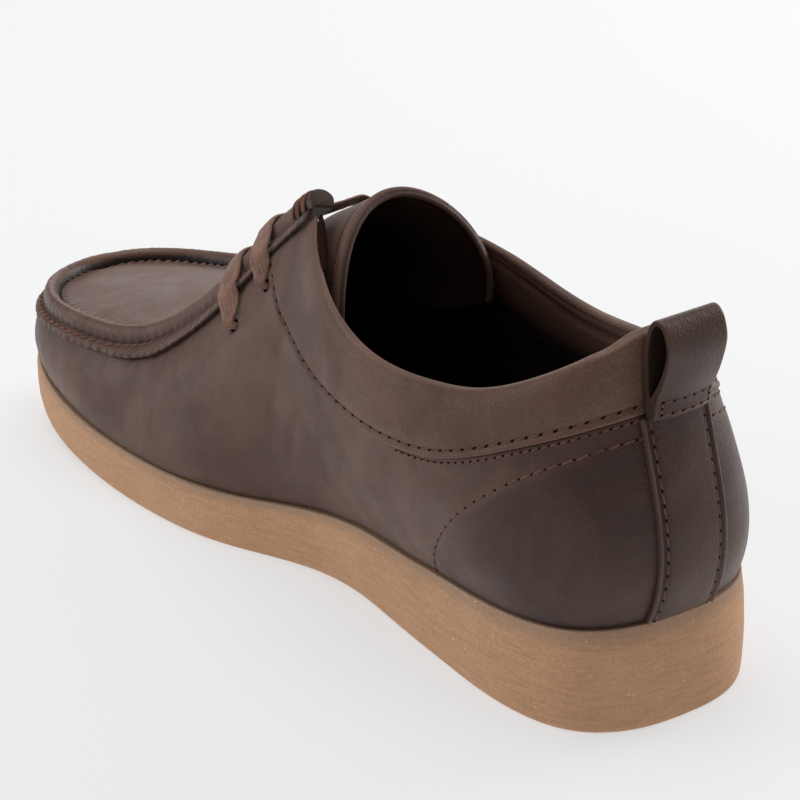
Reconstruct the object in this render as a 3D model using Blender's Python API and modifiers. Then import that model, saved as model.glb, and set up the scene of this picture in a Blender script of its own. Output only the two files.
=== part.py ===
# Casual shoe for the right foot: an apron-toe lace shoe with a padded collar,
# a heel pull loop and a moulded crepe wedge sole.
# Frame: +Y to the toe, +X to the outer side of the foot, +Z up, ground at z = 0.
# Origin: centre of the footprint, on the ground.

import math

import bmesh
import bpy
import numpy as np
from mathutils import Vector

# Overall sizes in metres
SHOE_LENGTH = 0.313
BALL_WIDTH = 0.102
HEEL_TOP = 0.112

# Sole
SOLE_HEEL = 0.031
SOLE_BALL = 0.0172
TOE_SPRING = 0.0118
ARCH_LIFT = 0.0012
EDGE_ROUND = 0.0015
SIDE_CROWN = 0.0007
HEEL_DRAFT = 0.0022
FEATHER = 0.0013

# Upper
LEATHER = 0.0020
SWELL = 0.0054
PAD = 0.0062
CLEAR = 0.0003
LACE_HOLE = 0.0042

# Insole
INSOLE = 0.0030

# Rolled apron seam, with its raw outer lip
ROLL_WIDTH = 0.0076
ROLL_HEIGHT = 0.0064
LIP = 0.0052
LIP_GAP = 0.00075
LIP_THICK = 0.0014
ROLL_PAST = 0.0022

# Apron and tongue
APRON_THICK = 0.0022
APRON_DROP = 0.0044
TONGUE_THICK = 0.0030

# Heel strip, pull loop and laces
STRIP_WIDTH = 0.0222
STRIP_THICK = 0.0012
LOOP_WIDTH = 0.0202
LACE_WIDTH = 0.0062
LACE_THICK = 0.0015

# A lace crosses the lip this part of a section nearer to its hole
LACE_SLANT = 0.20

MM = 0.001

# Sections round the shoe, from the heel to the toe. Lengths are shares of
# SHOE_LENGTH, widths of BALL_WIDTH, heights of HEEL_TOP, swells of SWELL.
# foot: outline of the sole; rail: top edge of the upper; swell: how far the
# wall stands out of the straight line between them; band: where the collar
# starts on the wall.
# name, foot y in, foot y out, foot x in, foot x out, rail y, rail z in,
# rail z out, rail x in, rail x out, swell low, swell high, band
SECTIONS = (
    ("heel back", 0.001, 0.001, 0.010, 0.010, 0.029, 1.000, 1.000, 0.005, 0.005, 0.98, 0.06, 0.715),
    ("heel corner", 0.010, 0.005, -0.143, 0.180, 0.036, 0.991, 0.985, -0.118, 0.118, 0.98, 0.10, 0.712),
    ("heel side", 0.037, 0.036, -0.265, 0.322, 0.058, 0.943, 0.938, -0.206, 0.200, 0.90, 0.30, 0.724),
    ("counter", 0.112, 0.112, -0.335, 0.398, 0.131, 0.824, 0.821, -0.300, 0.299, 0.93, 0.70, 0.712),
    ("counter front", 0.198, 0.198, -0.317, 0.425, 0.198, 0.779, 0.773, -0.350, 0.359, 0.81, 0.67, 0.649),
    ("waist", 0.288, 0.288, -0.284, 0.431, 0.281, 0.787, 0.767, -0.377, 0.397, 0.70, 0.59, 0.634),
    ("quarter", 0.377, 0.377, -0.265, 0.453, 0.367, 0.873, 0.842, -0.328, 0.354, 0.96, 0.85, 0.623),
    ("lace tip", 0.466, 0.466, -0.314, 0.494, 0.442, 1.003, 0.932, -0.184, 0.215, 1.33, 1.19, 0.625),
    ("throat", 0.543, 0.543, -0.394, 0.537, 0.505, 0.861, 0.858, -0.185, 0.200, 1.19, 1.15, 1.00),
    ("apron back", 0.617, 0.617, -0.431, 0.563, 0.585, 0.644, 0.644, -0.231, 0.252, 0.93, 0.96, 1.00),
    ("ball", 0.696, 0.696, -0.438, 0.563, 0.684, 0.456, 0.450, -0.298, 0.346, 0.64, 0.70, 1.00),
    ("vamp", 0.799, 0.799, -0.422, 0.523, 0.792, 0.411, 0.420, -0.371, 0.408, 0.52, 0.52, 1.00),
    ("toe side", 0.898, 0.898, -0.359, 0.436, 0.888, 0.399, 0.396, -0.336, 0.378, 0.48, 0.44, 1.00),
    ("toe corner", 0.968, 0.968, -0.230, 0.265, 0.954, 0.390, 0.389, -0.211, 0.251, 0.44, 0.41, 1.00),
    ("toe tip", 1.000, 1.000, 0.029, 0.029, 0.982, 0.389, 0.389, 0.029, 0.029, 0.44, 0.41, 1.00),
)
LAST = len(SECTIONS) - 1
TIP = 7
BAND_FRONT = 1.15
TIP_END = TIP + 0.86 * BAND_FRONT
ROLL_END = 0.03
APRON_BACK = 8.95

# Length of the raw lip below the roll: section, share of LIP.
LIP_SHARES = ((7.0, 0.60), (8.2, 0.85), (9.0, 1.08), (9.8, 1.08), (10.6, 0.56), (14.0, 0.50))

# Thickness of the sole along the shoe: share of SHOE_LENGTH, and how far it
# has gone from SOLE_HEEL to SOLE_BALL.
WEDGE = ((0.0, 0.0), (0.16, 0.20), (0.32, 0.55), (0.48, 0.90), (0.62, 1.0), (1.0, 0.96))
SPRING_START = 0.67
ARCH = (0.24, 0.52)

# Side of the sole: share of the height, and how far it stands out, in EDGE_ROUND
# below and in SIDE_CROWN above.
SOLE_SIDE = ((0.0, -1.0, 0.0), (0.03, -0.30, 0.0), (0.10, 0.0, 0.0), (0.45, 0.0, 1.0), (0.80, 0.0, 0.8), (1.0, 0.0, -0.4))

# Collar section: share of the way up the band, and offset from the wall in PAD
COLLAR = (
    (0.00, 0.02), (0.05, 0.12), (0.30, 0.20), (0.65, 0.20), (0.90, 0.08), (0.985, -0.14),
    (1.00, -0.38), (0.96, -0.60), (0.80, -0.74), (0.45, -0.78), (0.12, -0.60), (0.0, -0.36),
)

# Roll section: out from the stitch line in ROLL_WIDTH, up in ROLL_HEIGHT
ROLL = (
    (0.02, 0.08), (0.00, 0.48), (-0.16, 0.84), (-0.42, 1.00), (-0.74, 0.89), (-0.94, 0.60),
    (-1.00, 0.28), (-0.88, -0.09), (-0.40, -0.14), (0.00, -0.14),
)

# Tongue from the apron to its top edge: y in SHOE_LENGTH, height of the middle
# in HEEL_TOP, half width, side drop and place of the middle in BALL_WIDTH, and
# how far the sides stand back, in SHOE_LENGTH.
TONGUE = (
    (0.543, 0.768, 0.185, 0.122, 0.008, 0.006),
    (0.500, 0.900, 0.215, 0.208, 0.008, 0.014),
    (0.455, 0.974, 0.232, 0.298, 0.004, 0.026),
    (0.414, 1.040, 0.286, 0.325, 0.022, 0.038),
)

# Pull loop from the side, at its inner edge: y in SHOE_LENGTH, z in HEEL_TOP
LOOP_OUT = (
    (0.0160, 0.787), (0.0245, 0.787), (0.0272, 0.848), (0.0285, 0.920), (0.0272, 0.980), (0.0222, 1.015),
    (0.0145, 1.027), (0.0055, 1.012), (0.0000, 0.970), (0.0008, 0.930), (0.0070, 0.872), (0.0135, 0.824),
)
LOOP_IN = (
    (0.0212, 0.838), (0.0218, 0.846), (0.0228, 0.880), (0.0236, 0.925), (0.0228, 0.968), (0.0196, 1.001),
    (0.0143, 1.012), (0.0084, 1.000), (0.0046, 0.969), (0.0052, 0.935), (0.0112, 0.885), (0.0192, 0.846),
)
LOOP_CURVE = 16.0

# Laces: place on the roll and the hole on the wall, in sections from the heel
# and as a share of the wall's height, and the crossing's height in ROLL_HEIGHT
LACES = (
    ("lace_front", 8.76, 8.23, 0.733, 1.05),
    ("lace_rear", 8.17, 7.79, 0.830, 1.00),
)

# Colours: name, red, green, blue, roughness
LOOKS = (
    ("leather", 0.105, 0.062, 0.048, 0.55),
    ("leather_collar", 0.125, 0.082, 0.064, 0.55),
    ("lining", 0.030, 0.018, 0.014, 0.85),
    ("crepe", 0.470, 0.280, 0.150, 0.70),
    ("lace", 0.135, 0.066, 0.048, 0.60),
)


def spline(knots, rows, closed=False):
    """Cubic curve through the rows, with free ends or joined end to end."""
    t = np.array(knots, float)
    y = np.array(rows, float).reshape(len(t), -1)
    n = len(t)
    h = np.diff(t)
    slope = np.diff(y, axis=0) / h[:, None]
    a = np.zeros((n, n))
    b = np.zeros_like(y)
    for i in range(1, n - 1):
        a[i, i - 1] = h[i - 1]
        a[i, i] = 2 * (h[i - 1] + h[i])
        a[i, i + 1] = h[i]
        b[i] = 6 * (slope[i] - slope[i - 1])
    if closed:
        a[0, 0] = 2 * (h[0] + h[-1])
        a[0, 1] = h[0]
        a[0, n - 2] = h[-1]
        b[0] = 6 * (slope[0] - slope[-1])
        a[-1, 0] = 1
        a[-1, -1] = -1
    else:
        a[0, 0] = 1
        a[-1, -1] = 1
    m = np.linalg.solve(a, b)

    def at(p):
        p = np.atleast_1d(np.array(p, float))
        if closed:
            p = t[0] + (p - t[0]) % (t[-1] - t[0])
        i = np.clip(np.searchsorted(t, p, side="right") - 1, 0, n - 2)
        d = h[i][:, None]
        u = (p - t[i])[:, None]
        w = (t[i + 1] - p)[:, None]
        bend = (m[i] * w ** 3 + m[i + 1] * u ** 3) / (6 * d)
        return bend + (y[i] / d - m[i] * d / 6) * w + (y[i + 1] / d - m[i + 1] * d / 6) * u

    return at


def smooth(x):
    x = np.clip(x, 0, 1)
    return x * x * (3 - 2 * x)


def column(index, inner, outer):
    """Values of the table round the ring, outer side first."""
    out = [row[outer] for row in SECTIONS[:0:-1]]
    return np.array(out + [row[inner] for row in SECTIONS])


RING = np.arange(-LAST, LAST + 1)
FOOT_XY = np.stack([column(0, 3, 4) * BALL_WIDTH, column(0, 1, 2) * SHOE_LENGTH], 1)
RAIL_XYZ = np.stack([column(0, 8, 9) * BALL_WIDTH, column(0, 5, 5) * SHOE_LENGTH, column(0, 6, 7) * HEEL_TOP], 1)
STEPS = np.concatenate([[0], np.cumsum(np.linalg.norm(np.diff(FOOT_XY, axis=0), axis=1))])
ROUND = STEPS[-1]
foot_curve = spline(STEPS, FOOT_XY, closed=True)
swell_curve = spline(STEPS, np.stack([column(0, 10, 10), column(0, 11, 11)], 1) * SWELL, closed=True)
RIM = slice(LAST - TIP, LAST + TIP + 1)
rim_curve = spline(STEPS[RIM], RAIL_XYZ[RIM])
FRONT_STEPS = np.concatenate([STEPS[LAST + TIP:], STEPS[1:LAST - TIP + 1] + ROUND])
FRONT_XYZ = np.concatenate([RAIL_XYZ[LAST + TIP:], RAIL_XYZ[1:LAST - TIP + 1]])
front_curve = spline(FRONT_STEPS, FRONT_XYZ)
band_curve = spline(np.arange(TIP + 1), [row[12] for row in SECTIONS[:TIP + 1]])
wedge_curve = spline([w[0] for w in WEDGE], [w[1] for w in WEDGE])


def along(g):
    """Distance round the outline at section g, below zero on the outer side."""
    return np.interp(g, RING, STEPS)


def rail(g):
    g = np.atleast_1d(np.array(g, float))
    p = along(g)
    front = front_curve(np.where(g < 0, p + ROUND, p))
    return np.where((np.abs(g) <= TIP)[:, None], rim_curve(p), front)


def outward(g):
    p = along(g)
    step = foot_curve(p + MM) - foot_curve(p - MM)
    step = step / np.linalg.norm(step, axis=1)[:, None]
    return np.stack([-step[:, 1], step[:, 0], np.zeros(len(step))], 1)


def ground(y):
    """Height of the sole's underside."""
    s = np.asarray(y) / SHOE_LENGTH
    spring = np.clip((s - SPRING_START) / (1 - SPRING_START), 0, 2) ** 2
    arch = np.sin(np.pi * np.clip((s - ARCH[0]) / (ARCH[1] - ARCH[0]), 0, 1)) ** 2
    return TOE_SPRING * spring + ARCH_LIFT * arch


def sole_top(y):
    share = wedge_curve(np.clip(np.asarray(y) / SHOE_LENGTH, 0, 1))[:, 0]
    return ground(y) + SOLE_HEEL + (SOLE_BALL - SOLE_HEEL) * share


def draft(normal):
    """The heel's back leans in towards its top."""
    return -HEEL_DRAFT * np.clip(-normal[:, 1], 0, 1) ** 2


def foot(g, inset):
    """Point on top of the sole, set in from its edge."""
    normal = outward(g)
    xy = foot_curve(along(g))
    point = np.column_stack([xy, np.zeros(len(xy))]) + normal * (draft(normal) - inset)[:, None]
    point[:, 2] = sole_top(point[:, 1])
    return point


def skin(g, v):
    """Outer face of the upper: 0 at the sole, 1 at its top edge."""
    g = np.atleast_1d(np.array(g, float))
    v = np.broadcast_to(np.asarray(v, float), g.shape)[:, None]
    low, high = swell_curve(along(g)).T
    b = 13.5 * (high - low)
    a = 4.5 * low - b / 3
    stand = v[:, 0] * (1 - v[:, 0]) * (a + b * v[:, 0])
    base = foot(g, np.full(len(g), FEATHER))
    base[:, 2] += CLEAR * 1.7
    return base * (1 - v) + rail(g) * v + outward(g) * stand[:, None]


def skin_normal(g, v):
    g = np.atleast_1d(np.array(g, float))
    v = np.broadcast_to(np.asarray(v, float), g.shape)
    side = skin(g + 0.02, v) - skin(g - 0.02, v)
    rise = skin(g, v + 0.01) - skin(g, v - 0.01)
    n = np.cross(rise, side)
    return n / np.linalg.norm(n, axis=1)[:, None]


def wall_length(g):
    return np.linalg.norm(rail(g) - foot(g, np.full(len(g), FEATHER)), axis=1)


def band(g):
    """Share of the wall's height at which the collar starts."""
    a = np.abs(g)
    low = band_curve(np.clip(a, 0, TIP))[:, 0]
    rise = np.clip((a - TIP) / BAND_FRONT, 0, 1) ** 1.2
    return low + (1 - low) * rise


def under_roll(g):
    """How far the wall stops below the roll's stitch line."""
    return smooth((np.abs(g) - TIP + 0.04) / 0.07) * (0.14 * ROLL_HEIGHT + 5.5 * CLEAR)


def spread(first, last, count, knots):
    """Section numbers at even distances along a path."""
    g = np.linspace(first, last, 400)
    run = np.concatenate([[0], np.cumsum(np.linalg.norm(np.diff(knots(g), axis=0), axis=1))])
    return np.interp(np.linspace(0, run[-1], count), run, g)


def material(name):
    look = next(row for row in LOOKS if row[0] == name)
    made = bpy.data.materials.get(name)
    if made is None:
        made = bpy.data.materials.new(name)
        made.use_nodes = True
        shader = made.node_tree.nodes["Principled BSDF"]
        shader.inputs["Base Color"].default_value = (look[1], look[2], look[3], 1)
        shader.inputs["Roughness"].default_value = look[4]
        shader.inputs["Metallic"].default_value = 0
        made.diffuse_color = (look[1], look[2], look[3], 1)
    return made


def add(name, points, faces, look, merge=False):
    mesh = bpy.data.meshes.new(name)
    mesh.from_pydata([tuple(p) for p in points], [], faces)
    work = bmesh.new()
    work.from_mesh(mesh)
    if merge:
        bmesh.ops.remove_doubles(work, verts=work.verts, dist=0.00002)
    work.to_mesh(mesh)
    work.free()
    mesh.shade_smooth()
    mesh.set_sharp_from_angle(angle=math.radians(50))
    mesh.materials.append(material(look))
    made = bpy.data.objects.new(name, mesh)
    PARTS.objects.link(made)
    made.parent = BASE
    return made


def grid_faces(rows, cols, ring=False, start=0):
    """Quads of a grid whose outer face lies on the left of its columns."""
    faces = []
    for i in range(rows - 1):
        for j in range(cols if ring else cols - 1):
            k = (j + 1) % cols
            a = start + i * cols + j
            b = start + i * cols + k
            faces.append((a, a + cols, b + cols, b))
    return faces


def solidify(made, thickness, side=-1):
    thick = made.modifiers.new("thickness", "SOLIDIFY")
    thick.thickness = thickness
    thick.offset = side
    thick.use_even_offset = True
    thick.use_quality_normals = True
    return made


def outside(made):
    """Turn the faces of a closed body outwards."""
    work = bmesh.new()
    work.from_mesh(made.data)
    bmesh.ops.recalc_face_normals(work, faces=work.faces)
    if work.calc_volume(signed=True) < 0:
        bmesh.ops.reverse_faces(work, faces=work.faces)
    work.to_mesh(made.data)
    work.free()
    return made


def loft(name, sections, look, closed=False):
    """Closed body through sections that have as many points each."""
    sections = np.array(sections)
    rows, cols = sections.shape[:2]
    faces = grid_faces(rows, cols, ring=True)
    if closed:
        last = (rows - 1) * cols
        faces += [(last + j, j, (j + 1) % cols, last + (j + 1) % cols) for j in range(cols)]
    else:
        faces.append(tuple(range(cols)))
        faces.append(tuple(range((rows - 1) * cols, rows * cols)))
    return outside(add(name, sections.reshape(-1, 3), faces, look))


def build_sole():
    count = 38
    up = spread(0, LAST, count + 1, lambda g: foot_curve(along(g)))
    g = np.concatenate([up, -up[-2:0:-1]])
    normal = outward(g)
    xy = foot_curve(along(g))
    rings = []
    for share, edge, crown in SOLE_SIDE:
        out = edge * EDGE_ROUND + crown * SIDE_CROWN + draft(normal) * share
        ring = np.column_stack([xy, np.zeros(len(xy))]) + normal * out[:, None]
        low = ground(ring[:, 1])
        ring[:, 2] = low + (sole_top(ring[:, 1]) - low) * share
        rings.append(ring)
    cols = len(g)
    faces = grid_faces(len(rings), cols, ring=True)
    points = [p for ring in rings for p in ring]
    inner = 6
    for ring, first, height in ((rings[0], 0, ground), (rings[-1], (len(rings) - 1) * cols, sole_top)):
        half = cols // 2
        lookup = {}
        for i in range(half + 1):
            a = i
            b = -i % cols
            lookup[i, 0] = first + a
            lookup[i, inner] = first + b
            for j in range(1, inner):
                if a == b:
                    lookup[i, j] = first + a
                    continue
                p = ring[a] + (ring[b] - ring[a]) * j / inner
                p[2] = height(np.array([p[1]]))[0]
                lookup[i, j] = len(points)
                points.append(p)
        for i in range(half):
            for j in range(inner):
                corners = (lookup[i, j], lookup[i + 1, j], lookup[i + 1, j + 1], lookup[i, j + 1])
                face = tuple(dict.fromkeys(corners))
                if len(face) > 2:
                    faces.append(face)
    return outside(add("sole", points, faces, "crepe"))


def build_insole():
    up = spread(0.25, LAST - 0.25, 25, lambda g: foot_curve(along(g)))
    inset = FEATHER + LEATHER + 3 * CLEAR
    inner = foot(up, np.full(len(up), inset))
    outer = foot(-up, np.full(len(up), inset))
    rows = []
    for a, b in zip(inner, outer):
        row = a + (b - a) * np.linspace(0, 1, 7)[:, None]
        row[:, 2] = sole_top(row[:, 1]) + CLEAR * 1.8
        rows.append(row)
    rows = np.array(rows)
    made = add("insole", rows.reshape(-1, 3), grid_faces(rows.shape[0], rows.shape[1]), "lining")
    made.data.flip_normals()
    return solidify(made, INSOLE, 1)


def throat_columns():
    """Sections that the wall and the collar share where the collar runs out."""
    return spread(TIP, TIP_END, 5, rail)


def build_upper():
    g = spread(0, LAST, 40, lambda g: foot_curve(along(g)))
    g = np.concatenate([g[g < TIP - 0.12], throat_columns(), g[g > TIP_END + 0.12]])
    g = np.concatenate([g, -g[-2:0:-1]])
    wall = wall_length(g)
    stop = np.minimum(band(g) - CLEAR * 0.8 / wall, 1 - (under_roll(g) + CLEAR * 0.8) / wall)
    levels = (0, 0.09, 0.20, 0.32, 0.44, 0.56, 0.68, 0.80, 0.91, 1)
    rows = [skin(g, stop * level) for level in levels]
    points = np.array(rows).reshape(-1, 3)
    made = add("upper", points, grid_faces(len(rows), len(g), ring=True), "leather")
    solidify(made, LEATHER, -1)
    for name, _, hole, rise, _ in LACES:
        for sign in (1, -1):
            spot = skin([sign * hole], rise)[0]
            normal = skin_normal([sign * hole], rise)[0]
            cut = bmesh.new()
            bmesh.ops.create_cone(cut, cap_ends=True, segments=12, radius1=LACE_HOLE / 2,
                                  radius2=LACE_HOLE / 2, depth=6 * LEATHER)
            mesh = bpy.data.meshes.new("hole")
            cut.to_mesh(mesh)
            cut.free()
            cutter = bpy.data.objects.new("hole_" + name + ("_in" if sign > 0 else "_out"), mesh)
            cutter.rotation_mode = "QUATERNION"
            cutter.rotation_quaternion = Vector((0, 0, 1)).rotation_difference(Vector(normal))
            cutter.location = spot
            cutter.parent = BASE
            cutter.hide_render = True
            cutter.display_type = "WIRE"
            CUTTERS.objects.link(cutter)
            cutting = made.modifiers.new("lace hole", "BOOLEAN")
            cutting.operation = "DIFFERENCE"
            cutting.object = cutter
            cutting.solver = "EXACT"
    return made


def build_collar():
    front = throat_columns()
    g = np.concatenate([-front[::-1], spread(-TIP, TIP, 49, rail)[1:-1], front])
    low = band(g) + CLEAR * 0.8 / wall_length(g)
    high = 1 - under_roll(g) / wall_length(g)
    width = (high - low) * wall_length(g)
    a = np.abs(g)
    pad = PAD * (1 - 0.42 * smooth((a - 5.2) / 1.8))
    pad = np.minimum(pad, 0.55 * width)
    flat = 0.30 + 0.70 * smooth((a - 1.2) / 1.5)
    sections = []
    for share, out in COLLAR:
        level = low + (high - low) * share
        lift = np.where(out > 0, out * flat, out) * pad
        sections.append(skin(g, level) + skin_normal(g, level) * lift[:, None])
    return loft("collar", np.array(sections).transpose(1, 0, 2), "leather_collar")


def roll_frame(g):
    """Stitch line of the roll with its outward and upward directions."""
    spot = rail(g)
    ahead = rail(g + 0.03)
    behind = rail(g - 0.03)
    run = ahead - behind
    run = run / np.linalg.norm(run, axis=1)[:, None]
    flat = np.stack([-run[:, 1], run[:, 0], np.zeros(len(run))], 1)
    out = flat / np.linalg.norm(flat, axis=1)[:, None]
    rise = np.cross(run, -out)
    rise = rise * np.sign(rise[:, 2])[:, None]
    return spot, out, rise, run


def ring_path(first, count):
    """Section numbers from the inner side round the toe to the outer side."""
    g = spread(first, LAST - 0.001, count, rail)
    return np.concatenate([g, -g[::-1]])


def lip_length(g):
    """How far the lip lies down the wall."""
    return LIP * np.interp(np.abs(g), [row[0] for row in LIP_SHARES], [row[1] for row in LIP_SHARES])


def on_wall(g, depth, lift):
    """Point at some depth below the rail, standing off the wall."""
    level = 1 - depth / wall_length(g)
    return skin(g, level) + skin_normal(g, level) * lift


def build_roll():
    g = ring_path(TIP + ROLL_END, 28)
    g = np.delete(g, 27)
    spot, out, rise, run = roll_frame(g)
    past = np.zeros_like(spot)
    past[0] = -run[0] * ROLL_PAST
    past[-1] = run[-1] * ROLL_PAST
    sections = [spot + out * (x * ROLL_WIDTH) + rise * (z * ROLL_HEIGHT) for x, z in ROLL]
    length = lip_length(g)
    sections.append(on_wall(g, length * 0.2, LIP_GAP))
    sections.append(on_wall(g, length, LIP_GAP))
    sections.append(on_wall(g, length * 0.97, LIP_GAP + LIP_THICK))
    sections.append(on_wall(g, length * 0.30, LIP_GAP + LIP_THICK * 1.15))
    sections = np.array(sections) + past
    return loft("apron_roll", sections.transpose(1, 0, 2), "leather")


def apron_edge(g):
    spot, out, rise, _ = roll_frame(g)
    return spot - out * (ROLL_WIDTH + CLEAR * 1.3) + rise * (ROLL_HEIGHT - APRON_DROP)


def apron_row(g, count):
    a = apron_edge(np.array([g]))[0]
    b = apron_edge(np.array([-g]))[0]
    t = np.linspace(0, 1, count)
    row = a + (b - a) * t[:, None]
    far = (LAST - g) / (LAST - APRON_BACK)
    crown = 0.0012 + 0.0020 * smooth(far)
    row[:, 2] += crown * (1 - (2 * t - 1) ** 2) * min(1, np.linalg.norm(b - a) / 0.03)
    return row


def build_apron():
    steps = spread(APRON_BACK, LAST - 0.05, 18, rail)
    rows = np.array([apron_row(g, 11) for g in steps])
    made = add("apron", rows.reshape(-1, 3), grid_faces(rows.shape[0], rows.shape[1]), "leather")
    made.data.flip_normals()
    return solidify(made, APRON_THICK, -1)


def build_tongue():
    count = 15
    start = apron_row(APRON_BACK, count)
    middle = start.mean(0)
    start[:, 0] = middle[0] + (start[:, 0] - middle[0]) * 0.90
    start[:, 1] -= APRON_THICK + CLEAR
    start[:, 2] -= CLEAR * 2
    angle = np.linspace(-0.485, 0.55, count) * np.pi
    rows = [start]
    for y, z, half, drop, middle, back in TONGUE:
        x = middle * BALL_WIDTH + half * BALL_WIDTH * np.sin(angle)
        height = z * HEEL_TOP - drop * BALL_WIDTH * (1 - np.cos(angle))
        length = y * SHOE_LENGTH - back * SHOE_LENGTH * np.sin(angle) ** 2
        rows.append(np.stack([x, length, height], 1))
    rows = np.array(rows)
    shape = spline(range(len(rows)), rows.reshape(len(rows), -1))
    fine = shape(np.linspace(0, len(rows) - 1, 12)).reshape(12, count, 3)
    made = add("tongue", fine.reshape(-1, 3), grid_faces(12, count), "leather")
    return solidify(made, TONGUE_THICK, -1)


def heel_point(x, v, off):
    """Point of the heel at a given x, off its wall."""
    g = np.linspace(-2.4, 2.4, 121)
    line = skin(g, v)
    order = np.argsort(line[:, 0])
    at = np.interp(x, line[order, 0], g[order])
    return skin([at], v)[0] + skin_normal([at], v)[0] * off


def build_strip():
    top = LOOP_OUT[0][1] * HEEL_TOP - 5 * CLEAR
    heel = heel_point(0, 0, 0)[2]
    stop = (top - heel) / (HEEL_TOP - heel)
    rows = []
    for v in np.linspace(0.004, stop, 12):
        rows.append([heel_point(x, v, CLEAR * 1.2) for x in np.linspace(-0.5, 0.5, 7) * STRIP_WIDTH])
    rows = np.array(rows)
    made = add("backstay", rows.reshape(-1, 3), grid_faces(12, 7), "leather")
    work = bmesh.new()
    work.from_mesh(made.data)
    work.faces.ensure_lookup_table()
    if work.faces[0].normal.y > 0:
        bmesh.ops.reverse_faces(work, faces=work.faces)
    work.to_mesh(made.data)
    work.free()
    return solidify(made, STRIP_THICK, 1)


def build_loop():
    turns = np.linspace(0, len(LOOP_OUT), 28)[:-1]
    sharp = np.concatenate([turns, [1.0]])
    knots = np.arange(len(LOOP_OUT) + 1)
    outer = spline(knots, list(LOOP_OUT) + [LOOP_OUT[0]], closed=True)(np.sort(sharp))
    inner = spline(knots, list(LOOP_IN) + [LOOP_IN[0]], closed=True)(np.sort(sharp))
    scale = np.array([SHOE_LENGTH, HEEL_TOP])
    base = LOOP_OUT[0][1] * HEEL_TOP
    tall = (LOOP_OUT[6][1] - LOOP_OUT[0][1]) * HEEL_TOP
    xs = np.linspace(-0.5, 0.5, 5) * LOOP_WIDTH
    sections = []
    for o, i in zip(outer * scale, inner * scale):
        line = []
        for point, order in ((o, xs), (i, xs[::-1])):
            for x in order:
                bow = LOOP_CURVE * (1 - smooth((point[1] - base) / tall))
                y = point[0] - bow * ((LOOP_WIDTH / 2) ** 2 - x * x)
                line.append((x, y, point[1]))
        sections.append(line)
    return loft("pull_loop", sections, "leather", closed=True)


def unit(v):
    return v / np.linalg.norm(v)


def lace_side(sign, place, hole, rise, cross):
    """One half of a lace from its hole to the far side of the roll, as points
    with the way its outer face looks."""
    spot, out, up, _ = (item[0] for item in roll_frame(np.array([sign * place])))
    normal = skin_normal([sign * hole], rise)[0]
    start = skin([sign * hole], rise)[0]
    over = LACE_THICK / 2 + CLEAR * 2.5
    edge = np.array([sign * (place - LACE_SLANT)])
    level = 1 - 0.8 * lip_length(edge) / wall_length(edge)
    lip_face = skin_normal(edge, level)[0]
    past = skin(edge, level)[0] + lip_face * (LIP_GAP + LIP_THICK * 1.1 + over + CLEAR)
    leave = start + normal * LEATHER * 0.80
    back = unit(start - past)
    flat = unit(np.cross(past - leave, np.cross(out, past - leave)))
    return [
        (start - normal * LEATHER * 0.6, back),
        (leave, unit(back + flat)),
        (leave + (past - leave) * 0.33, flat),
        (leave + (past - leave) * 0.70, flat),
        (past, unit(lip_face + out)),
        (spot + out * (over + 2 * CLEAR) + up * (ROLL_HEIGHT * 0.70), unit(out + up * 0.5)),
        (spot - out * (0.42 * ROLL_WIDTH) + up * (ROLL_HEIGHT + over), up),
        (spot - out * (1.04 * ROLL_WIDTH) + up * (cross * ROLL_HEIGHT + over), unit(up - out * 0.3)),
    ]


def build_lace(name, place, hole, rise, cross):
    inner = lace_side(1, place, hole, rise, cross)
    outer = lace_side(-1, place, hole, rise, cross)
    points = np.array([item[0] for item in inner + outer[::-1]])
    facing = np.array([item[1] for item in inner + outer[::-1]])
    run = np.concatenate([[0], np.cumsum(np.linalg.norm(np.diff(points, axis=0), axis=1))])
    curve = spline(run, points)
    t = np.concatenate([np.linspace(0, run[7], 14)[:-1], np.linspace(run[7], run[8], 6)[:-1],
                        np.linspace(run[8], run[-1], 14)])
    centre = curve(t)
    ahead = curve(np.clip(t + 0.0004, 0, run[-1])) - curve(np.clip(t - 0.0004, 0, run[-1]))
    ahead = ahead / np.linalg.norm(ahead, axis=1)[:, None]
    up = np.stack([np.interp(t, run, facing[:, k]) for k in range(3)], 1)
    up = up - ahead * (up * ahead).sum(1)[:, None]
    up = up / np.linalg.norm(up, axis=1)[:, None]
    side = np.cross(up, ahead)
    pinch = np.minimum(t, run[-1] - t) / (3.4 * LACE_WIDTH / 2)
    width = LACE_WIDTH * (0.42 + 0.58 * smooth(pinch))
    sections = []
    for x, z in ((-0.5, -0.25), (-0.5, 0.25), (-0.36, 0.5), (0.36, 0.5), (0.5, 0.25), (0.5, -0.25),
                 (0.36, -0.5), (-0.36, -0.5)):
        sections.append(centre + side * (x * width)[:, None] + up * z * LACE_THICK)
    return loft(name, np.array(sections).transpose(1, 0, 2), "lace")


def main():
    build_sole()
    build_insole()
    build_upper()
    build_collar()
    build_roll()
    build_apron()
    build_tongue()
    build_strip()
    build_loop()
    for row in LACES:
        build_lace(*row)


for old in list(bpy.data.objects):
    bpy.data.objects.remove(old)

PARTS = bpy.data.collections.new("casual_shoe")
CUTTERS = bpy.data.collections.new("cutters")
bpy.context.scene.collection.children.link(PARTS)
bpy.context.scene.collection.children.link(CUTTERS)
BASE = bpy.data.objects.new("shoe", None)
PARTS.objects.link(BASE)
main()

# The footprint's centre is put at the origin.
bpy.context.view_layer.update()
seen = bpy.context.evaluated_depsgraph_get()
corners = []
for part in PARTS.objects:
    if part.type == "MESH":
        shape = part.evaluated_get(seen)
        corners += [shape.matrix_world @ vertex.co for vertex in shape.data.vertices]
corners = np.array([tuple(c) for c in corners])
middle = (corners.min(0) + corners.max(0)) / 2
BASE.location = (-middle[0], -middle[1], -corners[:, 2].min())
bpy.context.view_layer.update()
print("footprint moved by", [round(float(v), 6) for v in BASE.location])
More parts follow.
